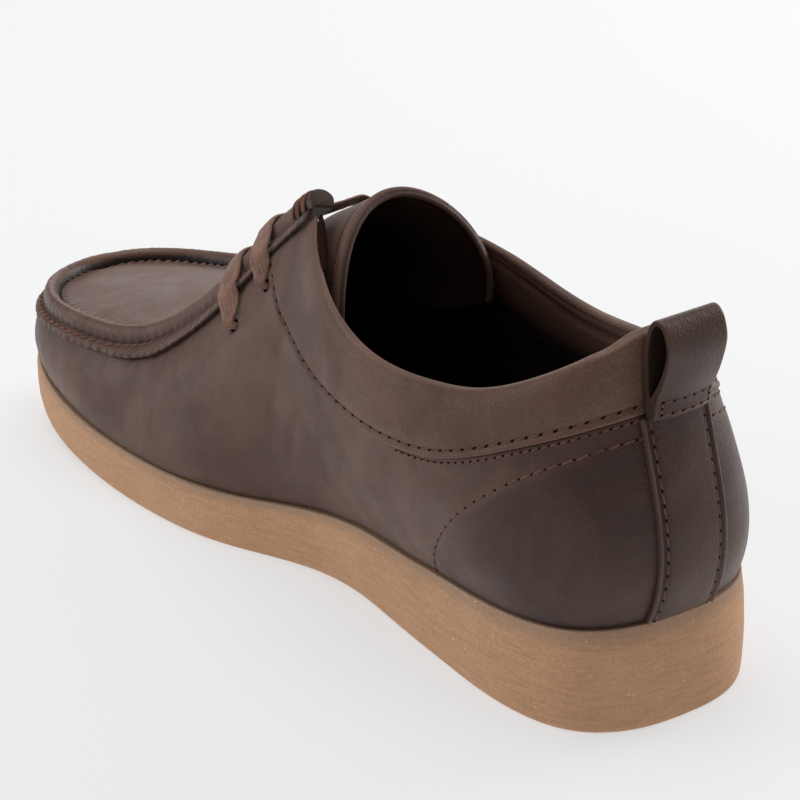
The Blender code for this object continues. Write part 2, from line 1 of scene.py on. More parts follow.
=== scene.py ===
import math

import bmesh
import bpy
import numpy as np
from bpy.props import FloatProperty, FloatVectorProperty, PointerProperty
from mathutils import Matrix, Vector, noise


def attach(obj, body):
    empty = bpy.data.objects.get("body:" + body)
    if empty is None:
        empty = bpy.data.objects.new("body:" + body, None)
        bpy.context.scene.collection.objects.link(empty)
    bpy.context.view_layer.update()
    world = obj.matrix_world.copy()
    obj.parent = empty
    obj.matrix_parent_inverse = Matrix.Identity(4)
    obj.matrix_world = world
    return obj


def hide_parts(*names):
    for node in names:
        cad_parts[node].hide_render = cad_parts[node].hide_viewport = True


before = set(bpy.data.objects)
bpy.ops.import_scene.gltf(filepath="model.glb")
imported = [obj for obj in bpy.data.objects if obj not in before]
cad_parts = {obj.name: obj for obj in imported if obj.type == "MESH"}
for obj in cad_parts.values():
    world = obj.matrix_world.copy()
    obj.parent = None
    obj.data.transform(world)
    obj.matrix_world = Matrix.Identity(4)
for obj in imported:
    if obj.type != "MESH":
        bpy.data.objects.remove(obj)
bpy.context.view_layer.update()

bl_info = {
    "name": "Casual shoe looks",
    "version": (1, 0, 0),
    "blender": (4, 5, 0),
    "location": "View3D > Sidebar > Shoe",
    "description": "Dresses the solids of a casual leather shoe with fine surfaces, seams and materials",
    "category": "Object",
}

MM = 0.001

# The shoe is drawn with its heel back at y = 0 and moved to the footprint's centre.
SHIFT = np.array([-0.006553, -0.155827, 0.0])

# Sizes of the solids, in metres
SHOE_LENGTH = 0.313
BALL_WIDTH = 0.102
HEEL_TOP = 0.112
SOLE_HEEL = 0.031
SOLE_BALL = 0.0172
TOE_SPRING = 0.0118
ARCH_LIFT = 0.0012
EDGE_ROUND = 0.0015
SIDE_CROWN = 0.0007
HEEL_DRAFT = 0.0022
FEATHER = 0.0013
LEATHER = 0.0020
SWELL = 0.0054
PAD = 0.0062
CLEAR = 0.0003
LACE_HOLE = 0.0042
INSOLE = 0.0030
ROLL_WIDTH = 0.0076
ROLL_HEIGHT = 0.0064
LIP = 0.0052
LIP_GAP = 0.00075
LIP_THICK = 0.0014
ROLL_PAST = 0.0022
ROLL_LEAN = 0.0028
ROLL_ROWS = 560
APRON_THICK = 0.0022
APRON_DROP = 0.0044
TONGUE_THICK = 0.0030
TONGUE_SEAM = 0.0036
STRIP_WIDTH = 0.0222
STRIP_THICK = 0.0012
STRIP_SEAM = 0.0024
LOOP_WIDTH = 0.0202
LACE_WIDTH = 0.0062
LACE_THICK = 0.0015
LACE_SLANT = 0.05

# Sections from the heel to the toe: foot y in, foot y out, foot x in, foot x out,
# rail y, rail z in, rail z out, rail x in, rail x out, swell low, swell high, band
SECTIONS = (
    (0.001, 0.001, 0.010, 0.010, 0.029, 1.000, 1.000, 0.005, 0.005, 0.98, 0.06, 0.715),
    (0.010, 0.005, -0.143, 0.180, 0.036, 0.991, 0.985, -0.118, 0.118, 0.98, 0.10, 0.712),
    (0.037, 0.036, -0.265, 0.322, 0.058, 0.943, 0.938, -0.206, 0.200, 0.90, 0.30, 0.724),
    (0.112, 0.112, -0.335, 0.398, 0.131, 0.824, 0.821, -0.300, 0.299, 0.93, 0.70, 0.712),
    (0.198, 0.198, -0.317, 0.425, 0.198, 0.779, 0.773, -0.350, 0.359, 0.81, 0.67, 0.649),
    (0.288, 0.288, -0.284, 0.431, 0.281, 0.787, 0.767, -0.377, 0.397, 0.70, 0.59, 0.634),
    (0.377, 0.377, -0.265, 0.453, 0.367, 0.873, 0.842, -0.328, 0.354, 0.96, 0.85, 0.623),
    (0.466, 0.466, -0.314, 0.494, 0.442, 1.003, 0.932, -0.184, 0.215, 1.33, 1.19, 0.625),
    (0.543, 0.543, -0.394, 0.537, 0.505, 0.861, 0.858, -0.185, 0.200, 1.19, 1.15, 1.00),
    (0.617, 0.617, -0.431, 0.563, 0.585, 0.644, 0.644, -0.231, 0.252, 0.93, 0.96, 1.00),
    (0.696, 0.696, -0.438, 0.563, 0.684, 0.456, 0.450, -0.298, 0.346, 0.64, 0.70, 1.00),
    (0.799, 0.799, -0.422, 0.523, 0.792, 0.411, 0.420, -0.371, 0.408, 0.52, 0.52, 1.00),
    (0.898, 0.898, -0.359, 0.436, 0.888, 0.399, 0.396, -0.336, 0.378, 0.48, 0.44, 1.00),
    (0.968, 0.968, -0.230, 0.265, 0.954, 0.390, 0.389, -0.211, 0.251, 0.44, 0.41, 1.00),
    (1.000, 1.000, 0.029, 0.029, 0.982, 0.389, 0.389, 0.029, 0.029, 0.44, 0.41, 1.00),
)
LAST = len(SECTIONS) - 1
TIP = 7
BAND_FRONT = 1.15
TIP_END = TIP + 0.86 * BAND_FRONT
ROLL_END = 0.03
APRON_BACK = 8.95
LIP_SHARES = ((7.0, 0.60), (8.2, 0.85), (9.0, 1.08), (9.8, 1.08), (10.6, 0.56), (14.0, 0.50))
WEDGE = ((0.0, 0.0), (0.16, 0.20), (0.32, 0.55), (0.48, 0.90), (0.62, 1.0), (1.0, 0.96))
SPRING_START = 0.67
ARCH = (0.24, 0.52)
COLLAR = (
    (0.00, 0.02), (0.05, 0.12), (0.30, 0.20), (0.65, 0.20), (0.90, 0.08), (0.985, -0.14),
    (1.00, -0.38), (0.96, -0.60), (0.80, -0.74), (0.45, -0.78), (0.12, -0.60), (0.0, -0.36),
)
ROLL = (
    (0.02, 0.08), (0.00, 0.48), (-0.16, 0.84), (-0.42, 1.00), (-0.74, 0.89), (-0.94, 0.60),
    (-1.00, 0.28), (-0.88, -0.09),
)
TONGUE = (
    (0.543, 0.768, 0.185, 0.122, 0.008, 0.006),
    (0.500, 0.900, 0.215, 0.208, 0.008, 0.014),
    (0.455, 0.974, 0.232, 0.298, 0.004, 0.026),
    (0.414, 1.040, 0.286, 0.325, 0.022, 0.038),
)
LOOP_OUT = (
    (0.0160, 0.787), (0.0245, 0.787), (0.0272, 0.848), (0.0285, 0.920), (0.0272, 0.980), (0.0222, 1.015),
    (0.0145, 1.027), (0.0055, 1.012), (0.0000, 0.970), (0.0008, 0.930), (0.0070, 0.872), (0.0135, 0.824),
)
LOOP_IN = (
    (0.0212, 0.838), (0.0218, 0.846), (0.0228, 0.880), (0.0236, 0.925), (0.0228, 0.968), (0.0196, 1.001),
    (0.0143, 1.012), (0.0084, 1.000), (0.0046, 0.969), (0.0052, 0.935), (0.0112, 0.885), (0.0192, 0.846),
)
LOOP_CURVE = 16.0
LACES = (("lace_front", 8.62, 8.23, 0.733, 1.05), ("lace_rear", 8.03, 7.79, 0.830, 1.00))

# Ends of the soft ridge on the apron, from near the toe to the front lace
RIDGE = ((-0.0226, 0.2395), (-0.0148, 0.1980))

# Curved seam of the heel counter: section and share of the wall's height
COUNTER = ((0.66, 0.637), (1.72, 0.643), (2.33, 0.630), (2.85, 0.573), (3.35, 0.453), (3.65, 0.347),
           (3.90, 0.230), (4.10, 0.110), (4.18, 0.012))

# Creases in the leather: section, share of the height, length and width in mm, lean, depth in mm
CREASES = (
    (9.6, 0.80, 15, 2.2, 0.5, 0.35), (10.0, 0.72, 18, 2.6, 0.7, 0.30), (10.5, 0.80, 13, 2.0, 0.4, 0.25),
    (9.1, 0.62, 20, 3.2, 0.9, 0.28), (6.6, 0.30, 22, 4.0, -0.5, 0.30), (5.6, 0.34, 20, 3.6, -0.7, 0.26),
    (-9.7, 0.78, 16, 2.4, 0.5, 0.35), (-10.2, 0.70, 17, 2.6, 0.6, 0.30), (-9.0, 0.60, 19, 3.0, 0.9, 0.28),
    (-6.2, 0.30, 22, 4.0, -0.5, 0.30), (1.9, 0.40, 12, 2.0, 0.2, 0.22), (2.6, 0.28, 12, 2.0, -0.3, 0.20),
    (-2.2, 0.36, 12, 2.0, 0.2, 0.22), (12.2, 0.45, 12, 3.0, 0.3, 0.15),
)

# Camera: place in metres, viewing direction, up direction and lens in mm
CAMERA_SPOT = (-0.366357, -0.504479, 0.305897)
CAMERA_LOOK = (0.557866, 0.731130, -0.392726)
CAMERA_UP = (0.254989, 0.299321, 0.919450)
CAMERA_LENS = 96.6685


def length(label, text, value):
    return FloatProperty(name=label, description=text, default=value, unit="LENGTH")


def tint(label, text, value):
    return FloatVectorProperty(name=label, description=text, default=value, subtype="COLOR", size=3)


def power(label, text, value):
    return FloatProperty(name=label, description=text, default=value, min=0.0)


class ShoeSizes(bpy.types.PropertyGroup):
    """Sizes that a maker would change"""

    long_stitch: length("Long stitch", "Step of the collar and counter seams", 0.0043)
    short_stitch: length("Short stitch", "Step of the heel strip's seams", 0.0040)
    roll_stitch: length("Roll stitch", "Step of the hand-sewn roll", 0.0042)
    thread: length("Thread", "Width of the sewing thread", 0.00058)
    pleat: length("Pleat", "Height of the pleats on the roll", 0.00014)
    scallop: length("Scallop", "Height of the apron's puckers along the roll", 0.0012)


class ShoeColours(bpy.types.PropertyGroup):
    """Colours that a maker would change"""

    leather: tint("Leather", "Main leather", (0.081, 0.034, 0.021))
    # The pale leather colour also paints highlights and the dark one paints shade, both through the tone.
    leather_light: tint("Pale leather and painted light", "Paler patches of the leather", (0.145, 0.076, 0.051))
    leather_red: tint("Reddish leather", "Warm patches of the leather", (0.150, 0.070, 0.044))
    leather_dark: tint("Dark leather", "Shaded and burnished places", (0.040, 0.019, 0.013))
    crepe: tint("Crepe", "Natural crepe rubber", (0.560, 0.312, 0.172))
    crepe_dark: tint("Crepe lines", "Darker lines in the crepe", (0.485, 0.260, 0.132))
    thread: tint("Thread", "Reddish sewing thread", (0.215, 0.088, 0.056))
    lace: tint("Lace", "Waxed flat lace", (0.230, 0.108, 0.070))
    edge: tint("Cut edge", "Raw edge of the leather", (0.046, 0.038, 0.031))
    lining: tint("Lining", "Lining inside", (0.0200, 0.0105, 0.0082))


class StageSettings(bpy.types.PropertyGroup):
    """Floor and lights"""

    floor: tint("Floor", "Pale floor", (0.34, 0.342, 0.345))
    glow: power("Floor glow", "Light that the floor gives back", 0.56)
    sky: power("Sky", "Strength of the even light", 0.24)
    key: power("Key", "Strength of the light overhead", 22.5)
    side: power("Side", "Strength of the lights at the sides and behind", 5.5)


# Shape of the shoe, the same as the solids have


def spline(knots, rows, closed=False):
    """Cubic curve through the rows, with free ends or joined end to end."""
    t = np.array(knots, float)
    y = np.array(rows, float).reshape(len(t), -1)
    n = len(t)
    h = np.diff(t)
    slope = np.diff(y, axis=0) / h[:, None]
    a = np.zeros((n, n))
    b = np.zeros_like(y)
    for i in range(1, n - 1):
        a[i, i - 1] = h[i - 1]
        a[i, i] = 2 * (h[i - 1] + h[i])
        a[i, i + 1] = h[i]
        b[i] = 6 * (slope[i] - slope[i - 1])
    if closed:
        a[0, 0] = 2 * (h[0] + h[-1])
        a[0, 1] = h[0]
        a[0, n - 2] = h[-1]
        b[0] = 6 * (slope[0] - slope[-1])
        a[-1, 0] = 1
        a[-1, -1] = -1
    else:
        a[0, 0] = 1
        a[-1, -1] = 1
    m = np.linalg.solve(a, b)

    def at(p):
        p = np.atleast_1d(np.array(p, float))
        if closed:
            p = t[0] + (p - t[0]) % (t[-1] - t[0])
        i = np.clip(np.searchsorted(t, p, side="right") - 1, 0, n - 2)
        d = h[i][:, None]
        u = (p - t[i])[:, None]
        w = (t[i + 1] - p)[:, None]
        bend = (m[i] * w ** 3 + m[i + 1] * u ** 3) / (6 * d)
        return bend + (y[i] / d - m[i] * d / 6) * w + (y[i + 1] / d - m[i + 1] * d / 6) * u

    return at


def smooth(x):
    x = np.clip(x, 0, 1)
    return x * x * (3 - 2 * x)


def bell(x, width):
    return np.exp(-(x / width) ** 2)


def unit(v):
    return v / np.linalg.norm(v, axis=-1, keepdims=True)


def uneven(x, seed):
    """Smooth random curve from -1 to 1 with a new value at each whole number."""
    x = np.asarray(x, float)
    low = np.floor(x).astype(int)
    first = low.min()
    values = np.random.default_rng(seed).uniform(-1, 1, low.max() - first + 2)
    part = smooth(x - low)
    return values[low - first] * (1 - part) + values[low - first + 1] * part


def dents(points, size, seed):
    """Smooth random field from -1 to 1 over the points."""
    flat = np.asarray(points).reshape(-1, 3) / size + seed * 7.3
    found = [noise.noise(Vector(p)) for p in flat]
    return np.array(found).reshape(np.shape(points)[:-1])


def column(inner, outer):
    """Values of the table round the ring, outer side first."""
    out = [row[outer] for row in SECTIONS[:0:-1]]
    return np.array(out + [row[inner] for row in SECTIONS])


RING = np.arange(-LAST, LAST + 1)
FOOT_XY = np.stack([column(2, 3) * BALL_WIDTH, column(0, 1) * SHOE_LENGTH], 1)
RAIL_XYZ = np.stack([column(7, 8) * BALL_WIDTH, column(4, 4) * SHOE_LENGTH, column(5, 6) * HEEL_TOP], 1)
STEPS = np.concatenate([[0], np.cumsum(np.linalg.norm(np.diff(FOOT_XY, axis=0), axis=1))])
ROUND = STEPS[-1]
foot_curve = spline(STEPS, FOOT_XY, closed=True)
swell_curve = spline(STEPS, np.stack([column(9, 9), column(10, 10)], 1) * SWELL, closed=True)
RIM = slice(LAST - TIP, LAST + TIP + 1)
rim_curve = spline(STEPS[RIM], RAIL_XYZ[RIM])
FRONT_STEPS = np.concatenate([STEPS[LAST + TIP:], STEPS[1:LAST - TIP + 1] + ROUND])
FRONT_XYZ = np.concatenate([RAIL_XYZ[LAST + TIP:], RAIL_XYZ[1:LAST - TIP + 1]])
front_curve = spline(FRONT_STEPS, FRONT_XYZ)
band_curve = spline(np.arange(TIP + 1), [row[11] for row in SECTIONS[:TIP + 1]])
wedge_curve = spline([w[0] for w in WEDGE], [w[1] for w in WEDGE])


def along(g):
    """Distance round the outline at section g, below zero on the outer side."""
    return np.interp(g, RING, STEPS)


def rail(g):
    g = np.atleast_1d(np.array(g, float))
    p = along(g)
    front = front_curve(np.where(g < 0, p + ROUND, p))
    return np.where((np.abs(g) <= TIP)[:, None], rim_curve(p), front)


def outward(g):
    p = along(g)
    step = unit(foot_curve(p + MM) - foot_curve(p - MM))
    return np.stack([-step[:, 1], step[:, 0], np.zeros(len(step))], 1)


def ground(y):
    """Height of the sole's underside."""
    s = np.asarray(y) / SHOE_LENGTH
    spring = np.clip((s - SPRING_START) / (1 - SPRING_START), 0, 2) ** 2
    arch = np.sin(np.pi * np.clip((s - ARCH[0]) / (ARCH[1] - ARCH[0]), 0, 1)) ** 2
    return TOE_SPRING * spring + ARCH_LIFT * arch


def sole_top(y):
    share = wedge_curve(np.clip(np.asarray(y).ravel() / SHOE_LENGTH, 0, 1))[:, 0].reshape(np.shape(y))
    return ground(y) + SOLE_HEEL + (SOLE_BALL - SOLE_HEEL) * share


def draft(normal):
    """The heel's back leans in towards its top."""
    return -HEEL_DRAFT * np.clip(-normal[:, 1], 0, 1) ** 2


def foot(g, inset):
    """Point on top of the sole, set in from its edge."""
    normal = outward(g)
    xy = foot_curve(along(g))
    point = np.column_stack([xy, np.zeros(len(xy))]) + normal * (draft(normal) - inset)[:, None]
    point[:, 2] = sole_top(point[:, 1])
    return point


def skin(g, v):
    """Outer face of the upper: 0 at the sole, 1 at its top edge."""
    g = np.atleast_1d(np.array(g, float))
    v = np.broadcast_to(np.asarray(v, float), g.shape)[:, None]
    low, high = swell_curve(along(g)).T
    b = 13.5 * (high - low)
    a = 4.5 * low - b / 3
    stand = v[:, 0] * (1 - v[:, 0]) * (a + b * v[:, 0])
    base = foot(g, np.full(len(g), FEATHER))
    base[:, 2] += CLEAR * 1.7
    return base * (1 - v) + rail(g) * v + outward(g) * stand[:, None]


def skin_normal(g, v):
    g = np.atleast_1d(np.array(g, float))
    v = np.broadcast_to(np.asarray(v, float), g.shape)
    side = skin(g + 0.02, v) - skin(g - 0.02, v)
    rise = skin(g, v + 0.01) - skin(g, v - 0.01)
    return unit(np.cross(rise, side))


def wall_length(g):
    return np.linalg.norm(rail(g) - foot(g, np.full(len(g), FEATHER)), axis=1)


def band(g):
    """Share of the wall's height at which the collar starts."""
    a = np.abs(g)
    low = band_curve(np.clip(a, 0, TIP))[:, 0]
    rise = np.clip((a - TIP) / BAND_FRONT, 0, 1) ** 1.2
    return low + (1 - low) * rise


def under_roll(g):
    """How far the wall stops below the roll's stitch line."""
    return smooth((np.abs(g) - TIP + 0.04) / 0.07) * (0.14 * ROLL_HEIGHT + 5.5 * CLEAR)


def spread(first, last, count, knots):
    """Section numbers at even distances along a path."""
    g = np.linspace(first, last, 600)
    run = np.concatenate([[0], np.cumsum(np.linalg.norm(np.diff(knots(g), axis=0), axis=1))])
    return np.interp(np.linspace(0, run[-1], count), run, g)


def path_length(points):
    return np.concatenate([[0], np.cumsum(np.linalg.norm(np.diff(points, axis=0), axis=1))])


def sample(t, run, values):
    """Values at distances t along a path."""
    return np.stack([np.interp(t, run, values[:, k]) for k in range(values.shape[1])], 1)


def roll_frame(g):
    """Stitch line of the roll with its outward and upward directions."""
    spot = rail(g)
    run = unit(rail(g + 0.03) - rail(g - 0.03))
    out = unit(np.stack([-run[:, 1], run[:, 0], np.zeros(len(run))], 1))
    rise = np.cross(run, -out)
    rise = rise * np.sign(rise[:, 2])[:, None]
    return spot, out, rise, run


def roll_places():
    """Sections along the roll from one end to the other, with its frame and its two ends drawn out a little."""
    g = spread(TIP + ROLL_END, LAST - 0.001, ROLL_ROWS, rail)
    g = np.delete(np.concatenate([g, -g[::-1]]), ROLL_ROWS - 1)
    spot, out, rise, run_way = roll_frame(g)
    for end, step in ((0, -ROLL_PAST), (-1, ROLL_PAST)):
        spot[end] += run_way[end] * step
    return g, spot, out, rise, run_way


def roll_width(g):
    """The roll is thinner round the toe."""
    return ROLL_WIDTH * (1 - 0.26 * smooth((np.abs(g) - 9.4) / 2.4))[:, None]


def lip_length(g):
    """How far the lip lies down the wall."""
    return LIP * np.interp(np.abs(g), [row[0] for row in LIP_SHARES], [row[1] for row in LIP_SHARES])


def on_wall(g, depth, lift):
    """Point at some depth below the rail, standing off the wall."""
    level = 1 - depth / wall_length(g)
    return skin(g, level) + skin_normal(g, level) * np.reshape(lift, (-1, 1))


def apron_edge(g):
    spot, out, rise, _ = roll_frame(g)
    return spot - out * (roll_width(g) + CLEAR * 1.3) + rise * (ROLL_HEIGHT - APRON_DROP)


# Meshes


def quads(rows, cols, ring=False):
    """Faces of a grid, with the corners of each in a map that has a column more on a ring."""
    width = cols + 1 if ring else cols
    i, j = np.meshgrid(np.arange(rows - 1), np.arange(width - 1), indexing="ij")
    i, j = i.ravel(), j.ravel()
    k = (j + 1) % cols
    faces = np.stack([i * cols + j, (i + 1) * cols + j, (i + 1) * cols + k, i * cols + k], 1)
    corners = np.stack([i * width + j, (i + 1) * width + j, (i + 1) * width + j + 1, i * width + j + 1], 1)
    return faces, corners


def build(name, points, faces, looks, flat=None, tone=None, index=None):
    """New mesh piece. flat gives a map place to each face corner, tone a shade to each point."""
    mesh = bpy.data.meshes.new(name)
    mesh.from_pydata((np.asarray(points).reshape(-1, 3) + SHIFT).tolist(), [], faces)
    for look in looks:
        mesh.materials.append(look)
    mesh.shade_smooth()
    if index is not None:
        mesh.polygons.foreach_set("material_index", np.asarray(index, np.int32).ravel())
    layer = mesh.uv_layers.new(name="run")
    if flat is not None:
        layer.data.foreach_set("uv", np.asarray(flat, np.float32).ravel())
    shade = mesh.attributes.new("tone", "FLOAT", "POINT")
    if tone is not None:
        shade.data.foreach_set("value", np.asarray(tone, np.float32).ravel())
    made = bpy.data.objects.new(name, mesh)
    bpy.context.scene.collection.objects.link(made)
    return made


def select(made):
    bpy.ops.object.select_all(action="DESELECT")
    made.select_set(True)
    bpy.context.view_layer.objects.active = made


def face_out(made):
    """Turn the faces of a closed body outwards."""
    work = bmesh.new()
    work.from_mesh(made.data)
    bmesh.ops.recalc_face_normals(work, faces=work.faces)
    if work.calc_volume(signed=True) < 0:
        bmesh.ops.reverse_faces(work, faces=work.faces)
    work.to_mesh(made.data)
    work.free()


def face_along(made, normal):
    """Turn an open sheet so that its first face looks along normal."""
    if made.data.polygons[len(made.data.polygons) // 2].normal.dot(Vector(normal)) < 0:
        made.data.flip_normals()


def thicken(made, thick, offset, inner=0, rim=0):
    """Gives a sheet its wall. inner and rim say which material those faces take, counted on from the face's."""
    wall = made.modifiers.new("thickness", "SOLIDIFY")
    wall.thickness = thick
    wall.offset = offset
    wall.material_offset = inner
    wall.material_offset_rim = rim


def apply_all(made):
    select(made)
    for modifier in list(made.modifiers):
        bpy.ops.object.modifier_apply(modifier=modifier.name)


def tube(name, sections, looks, index=None, tone=None, cap_look=0, flat=None):
    """Closed body through rings of points."""
    sections = np.asarray(sections)
    rows, cols = sections.shape[:2]
    faces, corners = quads(rows, cols, ring=True)
    if flat is None:
        ring = np.concatenate([sections, sections[:, :1]], 1)
        u = np.broadcast_to(path_length(sections.mean(1))[:, None], ring.shape[:2])
        steps = np.linalg.norm(np.diff(ring, axis=1), axis=2)
        v = np.concatenate([np.zeros((rows, 1)), np.cumsum(steps, 1)], 1)
        flat = np.stack([u, v], 2)
    spots = flat.reshape(-1, 2)[corners.ravel()]
    caps = [tuple(range(cols)), tuple(range((rows - 1) * cols, rows * cols))]
    spots = np.concatenate([spots, np.zeros((2 * cols, 2))])
    parts = np.zeros((rows - 1, cols), int) if index is None else index
    parts = np.concatenate([parts.ravel(), [cap_look, cap_look]])
    made = build(name, sections, faces.tolist() + caps, looks, spots, tone, parts)
    face_out(made)
    return made


def finish_piece(made, slot, *nodes):
    """The finished piece rides with the shoe and stands for its solids; slot is not used."""
    made.data.name = made.name
    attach(made, "root")
    if nodes:
        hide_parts(*nodes)
    return made


# Materials


class Recipe:
    """Node material built step by step."""

    def __init__(self, name):
        self.look = bpy.data.materials.new(name)
        self.look.use_nodes = True
        self.tree = self.look.node_tree
        self.shader = self.tree.nodes["Principled BSDF"]

    def node(self, kind, inputs, **settings):
        made = self.tree.nodes.new("ShaderNode" + kind)
        for key, value in settings.items():
            setattr(made, key, value)
        for key, value in inputs.items():
            self.feed(made.inputs[key], value)
        return made

    def feed(self, socket, value):
        if isinstance(value, bpy.types.NodeSocket):
            self.tree.links.new(value, socket)
        else:
            socket.default_value = value

    def spots(self, kind="Object", stretch=(1, 1, 1), turn=(0, 0, 0)):
        start = self.node("TexCoord", {}).outputs[kind]
        return self.node("Mapping", {"Vector": start, "Scale": stretch, "Rotation": turn}).outputs["Vector"]

    def noise(self, spots, scale, detail=2.0, rough=0.5, twist=0.0):
        return self.node("TexNoise", {"Vector": spots, "Scale": scale, "Detail": detail, "Roughness": rough,
                                      "Distortion": twist}).outputs["Fac"]

    def cells(self, spots, scale, feature="F1"):
        return self.node("TexVoronoi", {"Vector": spots, "Scale": scale}, feature=feature).outputs["Distance"]

    def fit(self, value, low, high, first=0.0, last=1.0):
        return self.node("MapRange", {"Value": value, "From Min": low, "From Max": high, "To Min": first,
                                      "To Max": last}, interpolation_type="SMOOTHSTEP").outputs["Result"]

    def maths(self, kind, a, b=0.0):
        return self.node("Math", {0: a, 1: b}, operation=kind).outputs[0]

    def mix(self, share, a, b, blend="MIX"):
        a = (*a, 1) if isinstance(a, tuple) else a
        b = (*b, 1) if isinstance(b, tuple) else b
        return self.node("MixRGB", {"Fac": share, "Color1": a, "Color2": b}, blend_type=blend).outputs["Color"]

    def speckle(self, base, grains, share):
        """Colour made lighter and darker by a share where the grains are."""
        speck = self.node("MapRange", {"Value": grains, "From Min": 0.25, "From Max": 0.75, "To Min": 1 - share,
                                       "To Max": 1 + share}).outputs["Result"]
        return self.node("VectorMath", {0: base, 1: speck}, operation="MULTIPLY").outputs["Vector"]

    def value(self, name):
        return self.node("Attribute", {}, attribute_name=name).outputs["Fac"]

    def bump(self, height, distance, strength=1.0, under=None):
        inputs = {"Height": height, "Distance": distance, "Strength": strength}
        if under is not None:
            inputs["Normal"] = under
        return self.node("Bump", inputs).outputs["Normal"]

    def set(self, **values):
        for key, value in values.items():
            value = (*value, 1) if isinstance(value, tuple) else value
            self.feed(self.shader.inputs[key.replace("_", " ").title().replace("Ior", "IOR")], value)


def colour(name):
    return tuple(getattr(bpy.context.scene.shoe_colours, name))


def shade(value, share):
    return tuple(c * share for c in value)


def made_once(name):
    """Turns a recipe into a function that makes the material of this name the first time it is asked for."""

    def wrap(recipe):
        def ask():
            made = bpy.data.materials.get(name)
            if made is None:
                r = Recipe(name)
                recipe(r)
                made = r.look
            return made

        return ask

    return wrap


def leather(name, nap=0.25, patch=0.75, gloss=0.46, wrinkle=1.0, lighten=0.0):
    """Waxed leather: broad patches, warm clouds, fine nap, grain, and painted light and shade by tone."""
    r = Recipe(name)
    spots = r.spots()
    broad = r.fit(r.noise(spots, 26, 4, 0.58, 0.8), 0.36, 0.66)
    cloud = r.fit(r.noise(spots, 62, 5, 0.62, 1.2), 0.44, 0.74)
    warm = r.fit(r.noise(r.spots(turn=(0.6, 0.2, 0.4)), 33, 3, 0.5, 0.5), 0.50, 0.72)
    fine = r.noise(spots, 1700, 3, 0.7)
    base = r.mix(r.maths("MULTIPLY", broad, patch), colour("leather"), colour("leather_light"))
    base = r.mix(r.maths("MULTIPLY", warm, patch * 0.62), base, colour("leather_red"))
    base = r.mix(r.maths("MULTIPLY", cloud, patch * 0.34), base, colour("leather_dark"))
    # Above zero the tone paints light and below zero it paints shade, over the leather's own patches.
    tone = r.value("tone")
    light = r.maths("ADD", r.fit(tone, 0.0, 1.0), lighten)
    base = r.mix(light, base, shade(colour("leather_light"), 1.25))
    base = r.mix(r.fit(tone, 0.0, -1.0), base, shade(colour("leather_dark"), 0.35))
    base = r.speckle(base, fine, nap)
    r.set(base_color=base)
    polish = r.noise(spots, 90, 4, 0.6)
    r.set(roughness=r.fit(polish, 0.3, 0.7, gloss - 0.05, gloss + 0.09))
    grain = r.cells(spots, 1250)
    folds = r.noise(r.spots(stretch=(1, 1, 2.4), turn=(0.5, 0.3, 0.2)), 330, 4, 0.65, 1.4)
    normal = r.bump(folds, 0.00022 * wrinkle, 0.55)
    normal = r.bump(grain, 0.00010, 0.7, normal)
    normal = r.bump(fine, 0.00009, 0.8, normal)
    r.set(normal=normal)
    r.set(specular_ior_level=0.36, sheen_weight=0.14, sheen_roughness=0.35, sheen_tint=(1.0, 0.93, 0.88))
    return r.look


@made_once("cut_edge")
def cut_edge(r):
    spots = r.spots()
    fibre = r.noise(spots, 900, 4, 0.7)
    r.set(base_color=r.mix(r.fit(fibre, 0.3, 0.75), colour("edge"), shade(colour("leather"), 0.75)))
    r.set(roughness=0.8, normal=r.bump(fibre, 0.00012, 0.8))
    r.set(specular_ior_level=0.15)


@made_once("dark_lining")
def lining(r):
    spots = r.spots()
    weave = r.noise(spots, 1500, 2, 0.5)
    cloud = r.fit(r.noise(spots, 45, 3, 0.6), 0.35, 0.7)
    r.set(base_color=r.mix(cloud, colour("lining"), shade(colour("lining"), 1.8)))
    r.set(roughness=0.8, normal=r.bump(weave, 0.00006, 0.6))
    r.set(specular_ior_level=0.0)


@made_once("thread")
def thread(r):
    spots = r.spots()
    fibre = r.noise(spots, 2600, 3, 0.7)
    long = r.fit(r.noise(spots, 140, 2), 0.35, 0.65)
    base = r.mix(long, shade(colour("thread"), 0.75), shade(colour("thread"), 1.35))
    r.set(base_color=r.mix(r.fit(fibre, 0.35, 0.7), shade(colour("thread"), 0.6), base))
    r.set(roughness=0.6, normal=r.bump(fibre, 0.00008, 0.8))
    r.set(specular_ior_level=0.3)


# Dark ovals at each stitch end paint the shade inside the needle holes.
@made_once("needle_hole")
def needle_hole(r):
    fibre = r.noise(r.spots(), 1400, 2)
    r.set(base_color=r.mix(fibre, (0.007, 0.0035, 0.003), (0.018, 0.008, 0.006)), roughness=0.9)
    r.set(specular_ior_level=0.0)


